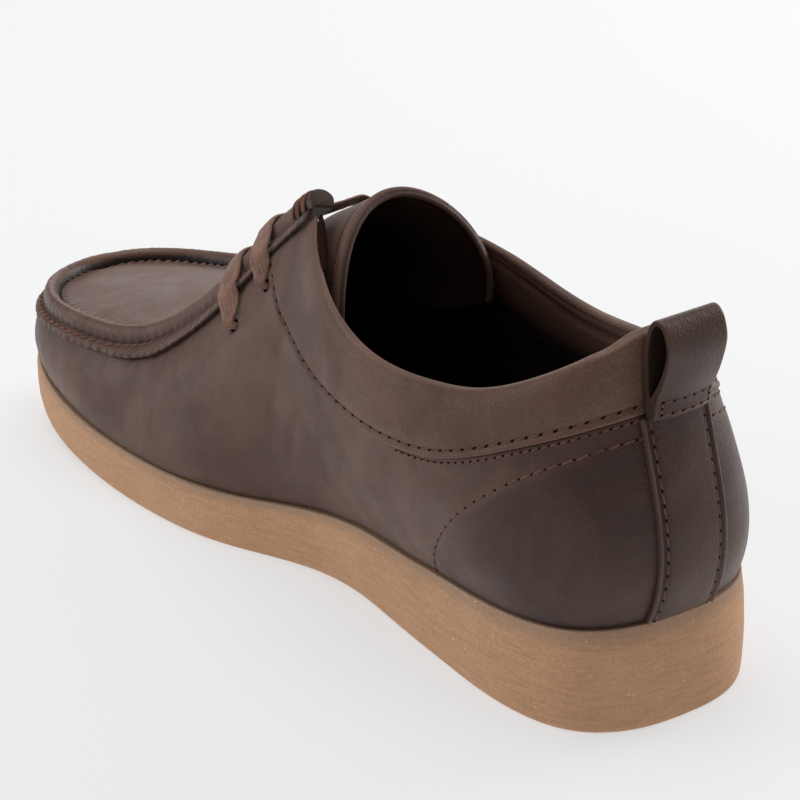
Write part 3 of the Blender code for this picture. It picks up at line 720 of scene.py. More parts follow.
@made_once("crepe_rubber")
def crepe(r):
    """Natural crepe: fine lines along the side, pale pores and a rough underside."""
    spots = r.spots()
    side = r.spots("UV", stretch=(1, 14, 1))
    lines = r.noise(side, 75, 4, 0.62, 0.25)
    thin = r.noise(r.spots("UV", stretch=(1, 9, 1)), 330, 3, 0.6)
    crumb = r.noise(spots, 1100, 3, 0.7)
    cloud = r.fit(r.noise(spots, 40, 3, 0.55), 0.35, 0.68)
    base = r.mix(r.fit(lines, 0.40, 0.66), colour("crepe"), colour("crepe_dark"))
    base = r.mix(r.maths("MULTIPLY", cloud, 0.5), base, shade(colour("crepe"), 1.12))
    base = r.mix(r.maths("MULTIPLY", r.fit(thin, 0.5, 0.8), 0.45), base, colour("crepe_dark"))
    tone = r.value("tone")
    base = r.mix(r.fit(tone, 0.0, 1.0, 0.0, 0.7), base, (0.36, 0.24, 0.16))
    pores = r.cells(r.spots("UV", stretch=(1, 2.2, 1)), 620)
    rows = r.node("TexWave", {"Vector": r.spots("UV"), "Scale": 97.0, "Distortion": 1.2, "Detail": 2.0},
                  bands_direction="Y").outputs["Fac"]
    here = r.fit(r.noise(r.spots("UV"), 120, 2), 0.54, 0.66)
    fleck = r.maths("MULTIPLY", r.fit(pores, 0.30, 0.14), r.maths("MULTIPLY", r.fit(rows, 0.80, 0.97), here))
    base = r.mix(r.maths("MULTIPLY", fleck, 0.9), base, (0.90, 0.74, 0.52))
    base = r.speckle(base, crumb, 0.16)
    r.set(base_color=base, roughness=0.72)
    normal = r.bump(lines, 0.00022, 0.5)
    normal = r.bump(thin, 0.00014, 0.6, normal)
    normal = r.bump(crumb, 0.00012, 0.7, normal)
    r.set(normal=normal)
    r.set(subsurface_weight=0.06, subsurface_radius=[1.0, 0.5, 0.25], subsurface_scale=0.002)


@made_once("crepe_tread")
def tread(r):
    """Underside of the crepe: a pebbled wave."""
    spots = r.spots()
    pebble = r.cells(r.spots(stretch=(1.0, 1.7, 1.0)), 210, "SMOOTH_F1")
    wave = r.noise(r.spots(stretch=(0.6, 2.2, 1.0)), 130, 3, 0.5, 1.5)
    crumb = r.noise(spots, 1100, 3, 0.7)
    base = r.mix(r.fit(wave, 0.4, 0.7), colour("crepe"), colour("crepe_dark"))
    r.set(base_color=r.mix(r.fit(pebble, 0.2, 0.7), base, shade(colour("crepe_dark"), 0.9)), roughness=0.8)
    normal = r.bump(wave, 0.0008, 0.8)
    normal = r.bump(pebble, 0.0007, 0.8, normal)
    r.set(normal=r.bump(crumb, 0.00012, 0.7, normal))


@made_once("waxed_lace")
def waxed_lace(r):
    long = r.spots("UV", stretch=(1, 9, 1))
    fibre = r.noise(long, 260, 4, 0.72, 0.4)
    cloud = r.fit(r.noise(r.spots(), 190, 3), 0.35, 0.68)
    base = r.mix(r.fit(fibre, 0.32, 0.70), shade(colour("lace"), 0.45), shade(colour("lace"), 1.25))
    base = r.mix(r.maths("MULTIPLY", cloud, 0.4), base, shade(colour("lace"), 1.7))
    r.set(base_color=base, roughness=0.62)
    weave = r.noise(r.spots(), 1900, 2, 0.6)
    r.set(normal=r.bump(weave, 0.00008, 0.5, r.bump(fibre, 0.00030, 0.9)))
    r.set(sheen_weight=0.15)


# Seams


def stitch_shape(around, rings):
    """Points and faces of a small rounded body of length 1, modelled once and then copied."""
    bpy.ops.object.select_all(action="DESELECT")
    bpy.ops.mesh.primitive_uv_sphere_add(segments=around, ring_count=rings, radius=0.5)
    ball = bpy.context.object
    bpy.ops.transform.rotate(value=math.pi / 2, orient_axis="Y", center_override=(0, 0, 0))
    bpy.ops.object.transform_apply(location=True, rotation=True, scale=True)
    points = np.array([v.co[:] for v in ball.data.vertices])
    faces = [tuple(p.vertices) for p in ball.data.polygons]
    points[:, 0] = np.sign(points[:, 0]) * (np.abs(points[:, 0]) * 2) ** 0.7 / 2
    bpy.data.objects.remove(ball)
    return points, faces


def lay(shape, size, spots, ahead, up, lean):
    """Copies of a shape at the spots, along their direction and turned a little to the side."""
    up = unit(up - ahead * (up * ahead).sum(1)[:, None])
    turned = unit(ahead + np.cross(up, ahead) * lean)
    ways = np.stack([turned, np.cross(up, turned), up], 1)
    return spots[:, None] + (shape * size) @ ways


def sew(name, rows, looks, slot):
    """One piece with all stitches of some rows. A row is its points, their normals, the step, how high the
    thread lies, and the length and width of a needle hole in mm."""
    width = bpy.context.scene.shoe_sizes.thread
    shape, sides = stitch_shape(8, 6)
    bodies, parts = [], []
    for line, normals, step, lift, hole_long, hole_wide in rows:
        run = path_length(line)
        count = max(2, int(round(run[-1] / step)))
        ends = np.linspace(0, run[-1], count + 1)
        for places, size, high, part, lean in (
                ((ends[1:] + ends[:-1]) / 2, (run[-1] / count * 0.80, width, width * 0.8), lift, 0, 0.12),
                (ends, (hole_long * MM, hole_wide * MM, 0.3 * MM), 0.02 * MM, 1, 0.35)):
            after = sample(np.minimum(places + 0.3 * MM, run[-1]), run, line)
            before = sample(np.maximum(places - 0.3 * MM, 0), run, line)
            up = sample(places, run, normals)
            spots = sample(places, run, line) + up * high
            bodies.append(lay(shape, size, spots, unit(after - before), up, lean))
            parts.append(np.full(len(places) * len(sides), part))
    bodies = np.concatenate(bodies)
    faces = [tuple(k * len(shape) + i for i in side) for k in range(len(bodies)) for side in sides]
    made = build(name, bodies, faces, looks, index=np.concatenate(parts))
    face_out(made)
    return finish_piece(made, slot)


# Collar surface


def collar_size(g):
    low = band(g)
    a = np.abs(g)
    dip = 2.0 * MM * smooth((3.8 - a) / 2.2) + 1.0 * MM * bell(a - 1.45, 0.45)
    high = 1 - (under_roll(g) + dip) / wall_length(g)
    width = (high - low) * wall_length(g)
    pad = np.minimum(PAD * (1 - 0.42 * smooth((a - 5.2) / 1.8)), 0.55 * width)
    flat = 0.30 + 0.70 * smooth((a - 1.2) / 1.5)
    return low, high, width, pad, flat


collar_curve = spline(np.arange(len(COLLAR) + 1), list(COLLAR) + [COLLAR[0]], closed=True)


def collar_point(g, t):
    """Point of the padded band: t runs up its outer face, over the rim and down the lining."""
    low, high, width, pad, flat = collar_size(g)
    share, out = collar_curve(np.full(len(g), t))[0]
    share = np.clip(share, 0, 1.02)
    lift = (out * flat if out > 0 else np.full(len(g), out)) * pad
    rise = share * width
    fade = smooth(width / (12 * MM))
    if t < 4.5:
        edge = 0.35 * MM * bell(rise - 0.9 * MM, 0.8 * MM)
        seam = 0.42 * MM * bell(rise - 2.4 * MM, 0.8 * MM)
        puff = 0.35 * MM * smooth((rise - 3 * MM) / (5 * MM)) * smooth((width - rise) / (7 * MM))
        lift = lift + fade * (edge - seam + puff)
    if 6.2 < t < 9:
        down = width - rise
        lift = lift + fade * 0.85 * MM * bell(down - 4.2 * MM, 0.7 * MM)
    level = low + (high - low) * share
    return skin(g, level) + skin_normal(g, level) * lift[:, None]


class SHOE_OT_sole(bpy.types.Operator):
    """Moulded crepe sole with lines along its side"""

    bl_idname = "shoe.sole"
    bl_label = "Sole"

    def execute(self, context):
        count = 250
        up = spread(0, LAST, count + 1, lambda g: foot_curve(along(g)))
        g = np.concatenate([up, -up[-2:0:-1]])
        normal = outward(g)
        xy = foot_curve(along(g))
        cols = len(g)
        around = np.linspace(0, ROUND, cols + 1)
        shares = np.concatenate([[0, 0.006, 0.018, 0.04, 0.07, 0.11], np.linspace(0.15, 0.93, 22),
                                 [0.955, 0.975, 0.99, 1.0, 1.0]])
        edge = np.interp(shares, (0, 0.006, 0.018, 0.04, 0.07, 0.11), (-1.0, -0.62, -0.36, -0.15, -0.04, 0))
        crown = np.interp(shares, (0.07, 0.25, 0.45, 0.80, 1.0), (0, 0.7, 1.0, 0.8, -0.2))
        rings = []
        for k, share in enumerate(shares):
            out = edge[k] * EDGE_ROUND + crown[k] * SIDE_CROWN + draft(normal) * share
            out = out - (0.0006 if k == len(shares) - 1 else 0)
            ring = np.column_stack([xy, np.zeros(cols)]) + normal * out[:, None]
            low = ground(ring[:, 1])
            ring[:, 2] = low + (sole_top(ring[:, 1]) - low) * share
            rings.append(ring)
        rings = np.array(rings)
        mid = rings[4:-3]
        rib = dents(mid * np.array([30, 30, 900]) * 0.4, 1.0, 3) * 0.10 * MM
        wave = dents(mid, 0.02, 5) * 0.22 * MM
        mid += normal[None] * (rib + wave)[..., None]
        faces, corners = quads(len(rings), cols, ring=True)
        height = np.concatenate([rings, rings[:, :1]], 1)[..., 2]
        flat = np.stack([np.broadcast_to(around, height.shape), height], 2).reshape(-1, 2)
        points = [rings.reshape(-1, 3)]
        spots = [flat[corners.ravel()]]
        faces = faces.tolist()
        parts = [0] * len(faces)
        tone = [np.repeat(smooth((shares - 0.78) / 0.22), cols)]
        inner = 24
        total = len(rings) * cols
        top = (len(rings) - 1) * cols
        for first, ring, height_of, part in ((0, rings[0], ground, 1), (top, rings[-1], sole_top, 0)):
            half = cols // 2
            rows = ring[:half + 1, None] + (ring[-np.arange(half + 1) % cols][:, None] - ring[:half + 1, None]) \
                * np.linspace(0, 1, inner + 1)[None, :, None]
            rows[..., 2] = height_of(rows[..., 1])
            number = np.zeros((half + 1, inner + 1), int)
            number[:, 0] = first + np.arange(half + 1)
            number[:, -1] = first + (-np.arange(half + 1)) % cols
            number[0] = first
            number[-1] = first + half
            fresh = rows[1:-1, 1:-1].reshape(-1, 3)
            number[1:-1, 1:-1] = total + np.arange(len(fresh)).reshape(half - 1, inner - 1)
            total += len(fresh)
            points.append(fresh)
            tone.append(np.zeros(len(fresh)))
            for i in range(half):
                for j in range(inner):
                    face = (number[i, j], number[i + 1, j], number[i + 1, j + 1], number[i, j + 1])
                    face = tuple(int(k) for k in dict.fromkeys(face))
                    if len(face) > 2:
                        faces.append(face)
                        parts.append(part)
                        spots.append(np.zeros((len(face), 2)))
        made = build("crepe_sole", np.concatenate(points), faces, [crepe(), tread()], np.concatenate(spots),
                     np.concatenate(tone), parts)
        face_out(made)
        finish_piece(made, "crepe", "sole")
        return {"FINISHED"}


class SHOE_OT_insole(bpy.types.Operator):
    """Liner that the foot stands on"""

    bl_idname = "shoe.insole"
    bl_label = "Insole"

    def execute(self, context):
        up = spread(0.25, LAST - 0.25, 90, lambda g: foot_curve(along(g)))
        inset = FEATHER + LEATHER + 0.5 * CLEAR
        inner = foot(up, np.full(len(up), inset))
        outer = foot(-up, np.full(len(up), inset))
        t = np.linspace(0, 1, 31)
        rows = inner[:, None] + (outer - inner)[:, None] * t[None, :, None]
        rows[..., 2] = sole_top(rows[..., 1]) + CLEAR * 1.8
        dish = (2 * t - 1) ** 4
        rows[..., 2] += 0.4 * MM * (dish[None] + 0.5 * dents(rows, 0.03, 2))
        faces, corners = quads(*rows.shape[:2])
        made = build("insole_liner", rows, faces.tolist(), [lining()], rows[..., :2].reshape(-1, 2)[corners.ravel()])
        face_along(made, (0, 0, 1))
        thicken(made, INSOLE, 1)
        apply_all(made)
        finish_piece(made, "lining", "insole")
        return {"FINISHED"}


class SHOE_OT_upper(bpy.types.Operator):
    """Leather wall with creases, gathers, the heel counter and the lace holes"""

    bl_idname = "shoe.upper"
    bl_label = "Upper"

    def execute(self, context):
        g = spread(0, LAST, 311, lambda g: foot_curve(along(g)))
        g = np.concatenate([g, -g[-2:0:-1]])
        cols = len(g)
        wall = wall_length(g)
        stop = np.minimum(band(g) - 0.03 * MM / wall, 1 - (0.13 * ROLL_HEIGHT * (np.abs(g) > TIP)) / wall)
        levels = np.concatenate([[0, 0.008], np.linspace(0.02, 0.93, 40), [0.955, 0.975, 0.99, 1.0]])
        where = np.repeat(levels, cols).reshape(len(levels), cols)
        v = where * stop
        all_g = np.broadcast_to(g, v.shape)
        points = skin(all_g.ravel(), v.ravel()).reshape(*v.shape, 3)
        normal = skin_normal(all_g.ravel(), v.ravel()).reshape(*v.shape, 3)
        length = wall_length(g)
        a = np.abs(all_g)
        lift = dents(points, 0.028, 1) * 0.28 * MM + dents(points, 0.011, 4) * 0.07 * MM
        down = (stop - v) * length
        phase = np.cumsum(np.full(cols, ROUND / cols)) / context.scene.shoe_sizes.roll_stitch
        gather = np.cos(2 * np.pi * phase + 1.5 * uneven(phase / 2, 8))
        lift += 0.06 * MM * gather * np.exp(-down / (7 * MM)) * smooth((a - 9.2) / 1.2)
        lift += 0.04 * MM * uneven(phase * 0.6, 12) * np.exp(-down / (16 * MM)) * smooth((a - 9.2) / 1.2)
        # Darker towards the heel, with painted shade just under the roll's lip at the front and just above the sole.
        tone = -0.30 * smooth((4.6 - a) / 2.0) + 0.10 * dents(points, 0.05, 9)
        tone -= 0.30 * np.exp(-down / (1.6 * MM)) * (a > 7.6)
        tone -= 0.25 * np.exp(-v * length / (2.0 * MM))
        # Each crease is a furrow with a low swelling on both sides.
        for at_g, at_v, long, wide, lean, deep in CREASES:
            centre = skin([at_g], at_v)[0]
            ahead = unit(skin([at_g + 0.1], at_v)[0] - centre)
            rise = unit(skin([at_g], at_v + 0.02)[0] - centre)
            line = unit(ahead * math.sin(lean) + rise * math.cos(lean))
            near = points - centre
            x = near @ line
            y_side = np.sign(near @ np.cross(line, normal[0, 0]) + 1e-9)
            y = np.linalg.norm(near - x[..., None] * line, axis=-1) * y_side
            bend = 0.9 * MM * np.sin(x / (long * MM) * 5)
            there = bell(x, long * MM * 0.5) * (np.linalg.norm(near, axis=-1) < long * 1.5 * MM)
            lift -= deep * MM * bell(y + bend, wide * MM * 0.5) * there
            lift += 0.5 * deep * MM * bell(np.abs(y + bend) - wide * 0.9 * MM, wide * MM * 0.6) * there
        # The counter under the leather stands out a little behind its seam.
        table = np.array(COUNTER)
        line_v = np.interp(a, table[:, 0], table[:, 1], right=-1)
        inside = (line_v - v) * length
        lift += 0.28 * MM * smooth(inside / (1.2 * MM) + 0.5) * smooth((4.25 - a) / 0.05)
        tone -= 0.22 * smooth(inside / (3.0 * MM)) * smooth((4.25 - a) / 0.2)
        points = points + normal * lift[..., None]
        faces, corners = quads(len(levels), cols, ring=True)
        around = np.linspace(0, ROUND, cols + 1)
        rise = np.concatenate([v * length, (v * length)[:, :1]], 1)
        flat = np.stack([np.broadcast_to(around, rise.shape), rise], 2).reshape(-1, 2)[corners.ravel()]
        made = build("leather_upper", points, faces.tolist(), [leather("brown_leather"), lining(), cut_edge()],
                     flat, tone)
        heel_back = made.data.polygons[0]
        if heel_back.normal.y > 0:
            made.data.flip_normals()
        thicken(made, LEATHER, -1, 1, 2)
        bpy.ops.object.select_all(action="DESELECT")
        cutters = []
        for _, _, hole, level, _ in LACES:
            for sign in (1, -1):
                spot = skin([sign * hole], level)[0] + SHIFT
                turn = Vector((0, 0, 1)).rotation_difference(Vector(skin_normal([sign * hole], level)[0]))
                bpy.ops.mesh.primitive_cylinder_add(vertices=32, radius=LACE_HOLE / 2, depth=6 * LEATHER,
                                                    location=spot, rotation=turn.to_euler())
                cutters.append(bpy.context.object)
        for cutter in cutters:
            cutter.select_set(True)
        bpy.ops.object.join()
        punch = bpy.context.object
        punch.data.materials.append(cut_edge())
        cut = made.modifiers.new("lace holes", "BOOLEAN")
        cut.object = punch
        cut.solver = "FAST"
        apply_all(made)
        bpy.data.objects.remove(punch)
        finish_piece(made, "leather", "upper")
        return {"FINISHED"}


class SHOE_OT_collar(bpy.types.Operator):
    """Padded band round the mouth, with its lining"""

    bl_idname = "shoe.collar"
    bl_label = "Collar"

    def execute(self, context):
        g = spread(-TIP_END, TIP_END, 460, rail)
        t = np.concatenate([np.linspace(0, 1, 9)[:-1], np.linspace(1, 2, 13)[:-1], np.linspace(2, 6, 22)[:-1],
                            np.linspace(6, 8, 15)[:-1], np.linspace(8, 12, 17)[:-1]])
        sections = np.array([collar_point(g, at) for at in t]).transpose(1, 0, 2)
        width = collar_size(g)[2]
        run = path_length(rail(g))
        out = unit(sections[:, 20] - sections[:, 62])
        soft = dents(sections, 0.022, 11) * 0.30 * MM + dents(sections, 0.009, 13) * 0.06 * MM
        soft *= smooth(width / (14 * MM))[:, None]
        body = smooth((t - 1.0) / 1.0) * smooth((5.6 - t) / 1.0)
        sections = sections + out[:, None] * (soft * body[None])[..., None]
        # The seam pulls the lower edge in at each stitch.
        pull = np.abs(np.cos(np.pi * run / context.scene.shoe_sizes.long_stitch))
        tuck = bell(t - 1.15, 0.22)
        sections = sections + out[:, None] * (-0.12 * MM * pull[:, None] * tuck[None])[..., None]
        tone = np.zeros(sections.shape[:2])
        # Painted highlights along the top of the rim and on the bead of the lower edge.
        tone += 0.30 * bell(t - 5.1, 0.5)[None] + 0.25 * bell(t - 0.45, 0.4)[None]
        tone -= 0.55 * bell(t - 7.15, 0.25)[None]
        # Painted light on the lining just below its seam, fading to painted shade deeper inside.
        tone += (0.35 * bell(t - 7.9, 0.6) - 1.0 * smooth((t - 8.6) / 1.6))[None]
        tone += 0.22 * dents(sections, 0.045, 15)
        # Painted light towards the back of the collar and painted shade towards its front.
        side = np.abs(g)[:, None]
        tone += 0.30 * smooth((3.6 - side) / 2.4) - 0.25 * smooth((side - 5.4) / 1.2)
        index = np.zeros((len(g) - 1, len(t)), int)
        index[:, (t > 7.15)] = 1
        # The lining leather is lightened all over as painted light; its tone darkens it deeper inside.
        made = tube("padded_collar", sections, [leather("collar_leather", 0.42, 0.9, 0.52, 0.7, 0.10),
                                                leather("collar_lining_leather", 0.2, 0.5, 0.42, 1.0, 0.95)],
                    index, tone)
        finish_piece(made, "leather_collar", "collar")
        return {"FINISHED"}


class SHOE_OT_facings(bpy.types.Operator):
    """Rounded lining edge that stands out behind the collar's front on both sides"""

    bl_idname = "shoe.facings"
    bl_label = "Facings"

    def execute(self, context):
        for name, sign in (("facing_in", 1), ("facing_out", -1)):
            g = sign * np.linspace(6.28, 6.97, 60)
            line = rail(g) + np.array([2.5 * sign, -1.0, -0.9]) * MM
            ahead = unit(np.gradient(line, axis=0))
            side = unit(np.cross(ahead, skin_normal(g, 0.97)))
            up = np.cross(side, ahead)
            t = np.linspace(0, 1, 60)
            size = 1.25 * MM * np.sin(np.pi * (0.04 + 0.92 * t)) ** 0.6 * (1 + 0.08 * uneven(t * 14, 91))
            around = np.linspace(0, 2 * np.pi, 25)[:-1]
            sections = [line + side * (size * math.cos(a))[:, None] + up * (size * 1.2 * math.sin(a))[:, None]
                        for a in around]
            made = tube(name, np.array(sections).transpose(1, 0, 2), [lining()])
            finish_piece(made, "lining")
        return {"FINISHED"}


class SHOE_OT_roll(bpy.types.Operator):
    """Rolled apron seam with pleats, sewing dents and its wavy raw lip"""

    bl_idname = "shoe.roll"
    bl_label = "Rolled seam"

    def execute(self, context):
        sizes = context.scene.shoe_sizes
        g, spot, out, rise, run_way = roll_places()
        run = path_length(spot)
        phase = run / sizes.roll_stitch
        knots = np.array(ROLL)
        count = 30
        body = spline(np.arange(len(knots)), knots)(np.linspace(0, len(knots) - 1, count))
        around = np.linspace(0, 1, count)
        pleat = (0.55 * uneven(run / (1.5 * MM), 21) + 0.6 * uneven(run / (4.2 * MM), 22)
                 + 0.4 * uneven(run / (9 * MM), 23))
        pull = 0.5 + 0.5 * np.cos(2 * np.pi * phase)
        sections = []
        for (x, z), s in zip(body, around):
            puff = sizes.pleat * pleat * math.sin(math.pi * min(1, s * 1.3)) ** 0.6
            tuck = -0.35 * MM * pull * (bell(s - 0.02, 0.13) + 0.6 * bell(s - 0.93, 0.12))
            away = unit(np.array([x + 0.5, z - 0.42]))
            grow = puff + tuck
            sections.append(spot + out * (x * roll_width(g)[:, 0] + away[0] * grow)[:, None]
                            + rise * (z * ROLL_HEIGHT + away[1] * grow)[:, None])
        wave = 0.55 * np.cos(2 * np.pi * phase + np.pi + 0.7 * uneven(phase * 0.7, 31))
        wave = wave + 0.45 * uneven(phase * 1.3, 32)
        strong = 0.30 + 0.70 * smooth((np.abs(g) - 8.6) / 1.2)
        length = lip_length(g) + 0.30 * MM * wave * strong
        hump = 0.5 - 0.5 * np.cos(2 * np.pi * phase)
        flare = (0.12 + 0.30 * wave * strong) * MM
        base = 0.30 * MM
        lip = (
            (-0.30, base, 0, 0), (0.10, base, 0, 0), (0.50, base, 0.3, 0), (0.90, base, 0.9, 0),
            (0.985, base + 0.15 * LIP_THICK, 1, 0), (1.0, base + 0.5 * LIP_THICK, 1, 0),
            (0.985, base + 0.85 * LIP_THICK, 1, 0), (0.92, base + 1.0 * LIP_THICK, 0.95, 0.1),
            (0.75, base + 1.08 * LIP_THICK, 0.6, 0.6), (0.55, base + 1.12 * LIP_THICK, 0.3, 1.0),
            (0.35, base + 1.05 * LIP_THICK, 0.1, 0.7), (0.16, base + 0.92 * LIP_THICK, 0, 0.1),
        )
        past = np.zeros_like(spot)
        past[0] = -run_way[0] * ROLL_PAST
        past[-1] = run_way[-1] * ROLL_PAST
        for depth, lift, out_share, high in lip:
            stand = lift + flare * out_share + 0.28 * MM * hump * high * strong
            sections.append(on_wall(g, depth * length, stand) + past)
        sections = np.array(sections).transpose(1, 0, 2)
        for place, way in ((run, run_way[0]), (run[-1] - run, -run_way[-1])):
            near_end = 1 - smooth(place / (8 * MM))
            high = np.concatenate([np.clip(body[:, 1], 0, 1) ** 1.5, np.zeros(len(lip))])
            sections += way * (ROLL_LEAN * near_end[:, None] * high[None])[..., None]
            sections[:, :count] -= out[:, None] * (1.1 * MM * near_end[:, None] * high[None, :count])[..., None]
        index = np.zeros((len(g) - 1, sections.shape[1]), int)
        index[:, count + 2:count + 6] = 1
        tone = np.zeros(sections.shape[:2])
        # Painted highlight along the crest, painted shade on the inner face towards the apron and along the foot by
        # the lip.
        tone[:, :count] += (0.38 * bell(around - 0.44, 0.16) - 1.3 * smooth((around - 0.55) / 0.25)
                         - 0.45 * bell(around, 0.08))[None]
        tone[:, count + 7:] -= 0.12
        # Painted light and shade following the pleats.
        tone += 0.18 * pleat[:, None]
        ends = smooth((7.30 - np.abs(g)) / 0.1)
        tone -= 0.55 * ends[:, None]
        made = tube("rolled_seam", sections, [leather("roll_leather", 0.2, 0.55, 0.42, 0.8, 0.08), cut_edge()],
                    index, tone, cap_look=1)
        finish_piece(made, "leather", "apron_roll")
        return {"FINISHED"}


class SHOE_OT_apron(bpy.types.Operator):
    """Sunken panel inside the roll, puckered where it is sewn to it"""

    bl_idname = "shoe.apron"
    bl_label = "Apron"

    def execute(self, context):
        sizes = context.scene.shoe_sizes
        steps = spread(APRON_BACK, LAST - 0.05, 260, rail)
        a = apron_edge(steps)
        b = apron_edge(-steps)
        count = 101
        t = 0.5 - 0.5 * np.cos(np.pi * np.linspace(0, 1, count))
        t = 0.45 * t + 0.55 * np.linspace(0, 1, count)
        rows = a[:, None] + (b - a)[:, None] * t[None, :, None]
        span = np.linalg.norm(b - a, axis=1)
        far = (LAST - steps) / (LAST - APRON_BACK)
        crown = 0.0012 + 0.0020 * smooth(far)
        rows[..., 2] += (crown * np.minimum(1, span / 0.03))[:, None] * (1 - (2 * t - 1) ** 2)[None]
        run = path_length(rail(steps))
        phase = (run - run[-1]) / sizes.roll_stitch
        from_side = np.minimum(t[None] * span[:, None], (1 - t[None]) * span[:, None])
        from_toe = (run[-1] - run)[:, None] * np.ones_like(from_side)
        edge = np.minimum(from_side, np.maximum(from_toe, 0))
        ripple = 0.5 + 0.5 * np.cos(2 * np.pi * phase + 0.6 * uneven(phase * 0.8, 41))
        lobes = sizes.scallop * (0.10 + 0.90 * ripple[:, None] ** 0.9) * np.exp(-(edge / (2.5 * MM)) ** 1.8)
        rows[..., 2] += lobes * smooth(edge / (0.3 * MM) + 0.6) * smooth(span / 0.02)[:, None]
        soft = dents(rows, 0.03, 42) * 0.35 * MM + dents(rows, 0.012, 43) * 0.08 * MM
        rows[..., 2] += soft * smooth(edge / (5 * MM))
        first, last = np.array(RIDGE)
        way = last - first
        near = rows[..., :2] - first
        s = np.clip(near @ way / (way @ way), -0.1, 1.15)
        away = (near[..., 0] * way[1] - near[..., 1] * way[0]) / np.linalg.norm(way)
        past_end = np.linalg.norm(near - s[..., None] * way, axis=-1)
        here = smooth(s * 1.3 + 0.15) * (np.abs(away) > past_end * 0.6)
        rows[..., 2] += 2.0 * MM * here * bell(away, 6.0 * MM) * smooth(edge / (4 * MM))
        # Painted shade in the gap along the roll, deepest between the puckers.
        tone = 0.10 + 0.12 * dents(rows, 0.04, 44) - 1.1 * np.exp(-edge / (1.5 * MM)) * (1 - 0.55 * ripple[:, None])
        # Painted highlight on both flanks of the soft ridge.
        tone += 0.22 * here * bell(np.abs(away) - 2 * MM, 4 * MM)
        faces, corners = quads(*rows.shape[:2])
        made = build("apron_panel", rows, faces.tolist(), [leather("apron_leather", 0.18, 0.35, 0.44, 0.6, 0.14),
                                                         lining()],
                     rows[..., :2].reshape(-1, 2)[corners.ravel()], tone)
        face_along(made, (0, 0, 1))
        thicken(made, APRON_THICK, -1, 1)
        apply_all(made)
        finish_piece(made, "leather", "apron")
        return {"FINISHED"}


def tongue_rows(along_count, across_count):
    """Outer face of the tongue."""
    a = apron_edge(np.array([APRON_BACK]))[0]
    b = apron_edge(np.array([-APRON_BACK]))[0]
    t = np.linspace(0, 1, across_count)
    start = a + (b - a) * t[:, None]
    start[:, 2] += 0.0032 * (1 - (2 * t - 1) ** 2)
    middle = start.mean(0)
    start[:, 0] = middle[0] + (start[:, 0] - middle[0]) * 0.90
    start[:, 1] -= APRON_THICK + CLEAR
    start[:, 2] -= CLEAR * 2
    angle = np.linspace(-0.485, 0.55, across_count) * np.pi
    rows = [start]
    for y, z, half, drop, mid, back in TONGUE:
        x = mid * BALL_WIDTH + half * BALL_WIDTH * np.sin(angle)
        height = z * HEEL_TOP - drop * BALL_WIDTH * (1 - np.cos(angle))
        length = y * SHOE_LENGTH - back * SHOE_LENGTH * np.sin(angle) ** 2
        rows.append(np.stack([x, length, height], 1))
    rows = np.array(rows)
    shape = spline(range(len(rows)), rows.reshape(len(rows), -1))
    return shape(np.linspace(0, len(rows) - 1, along_count)).reshape(along_count, across_count, 3)


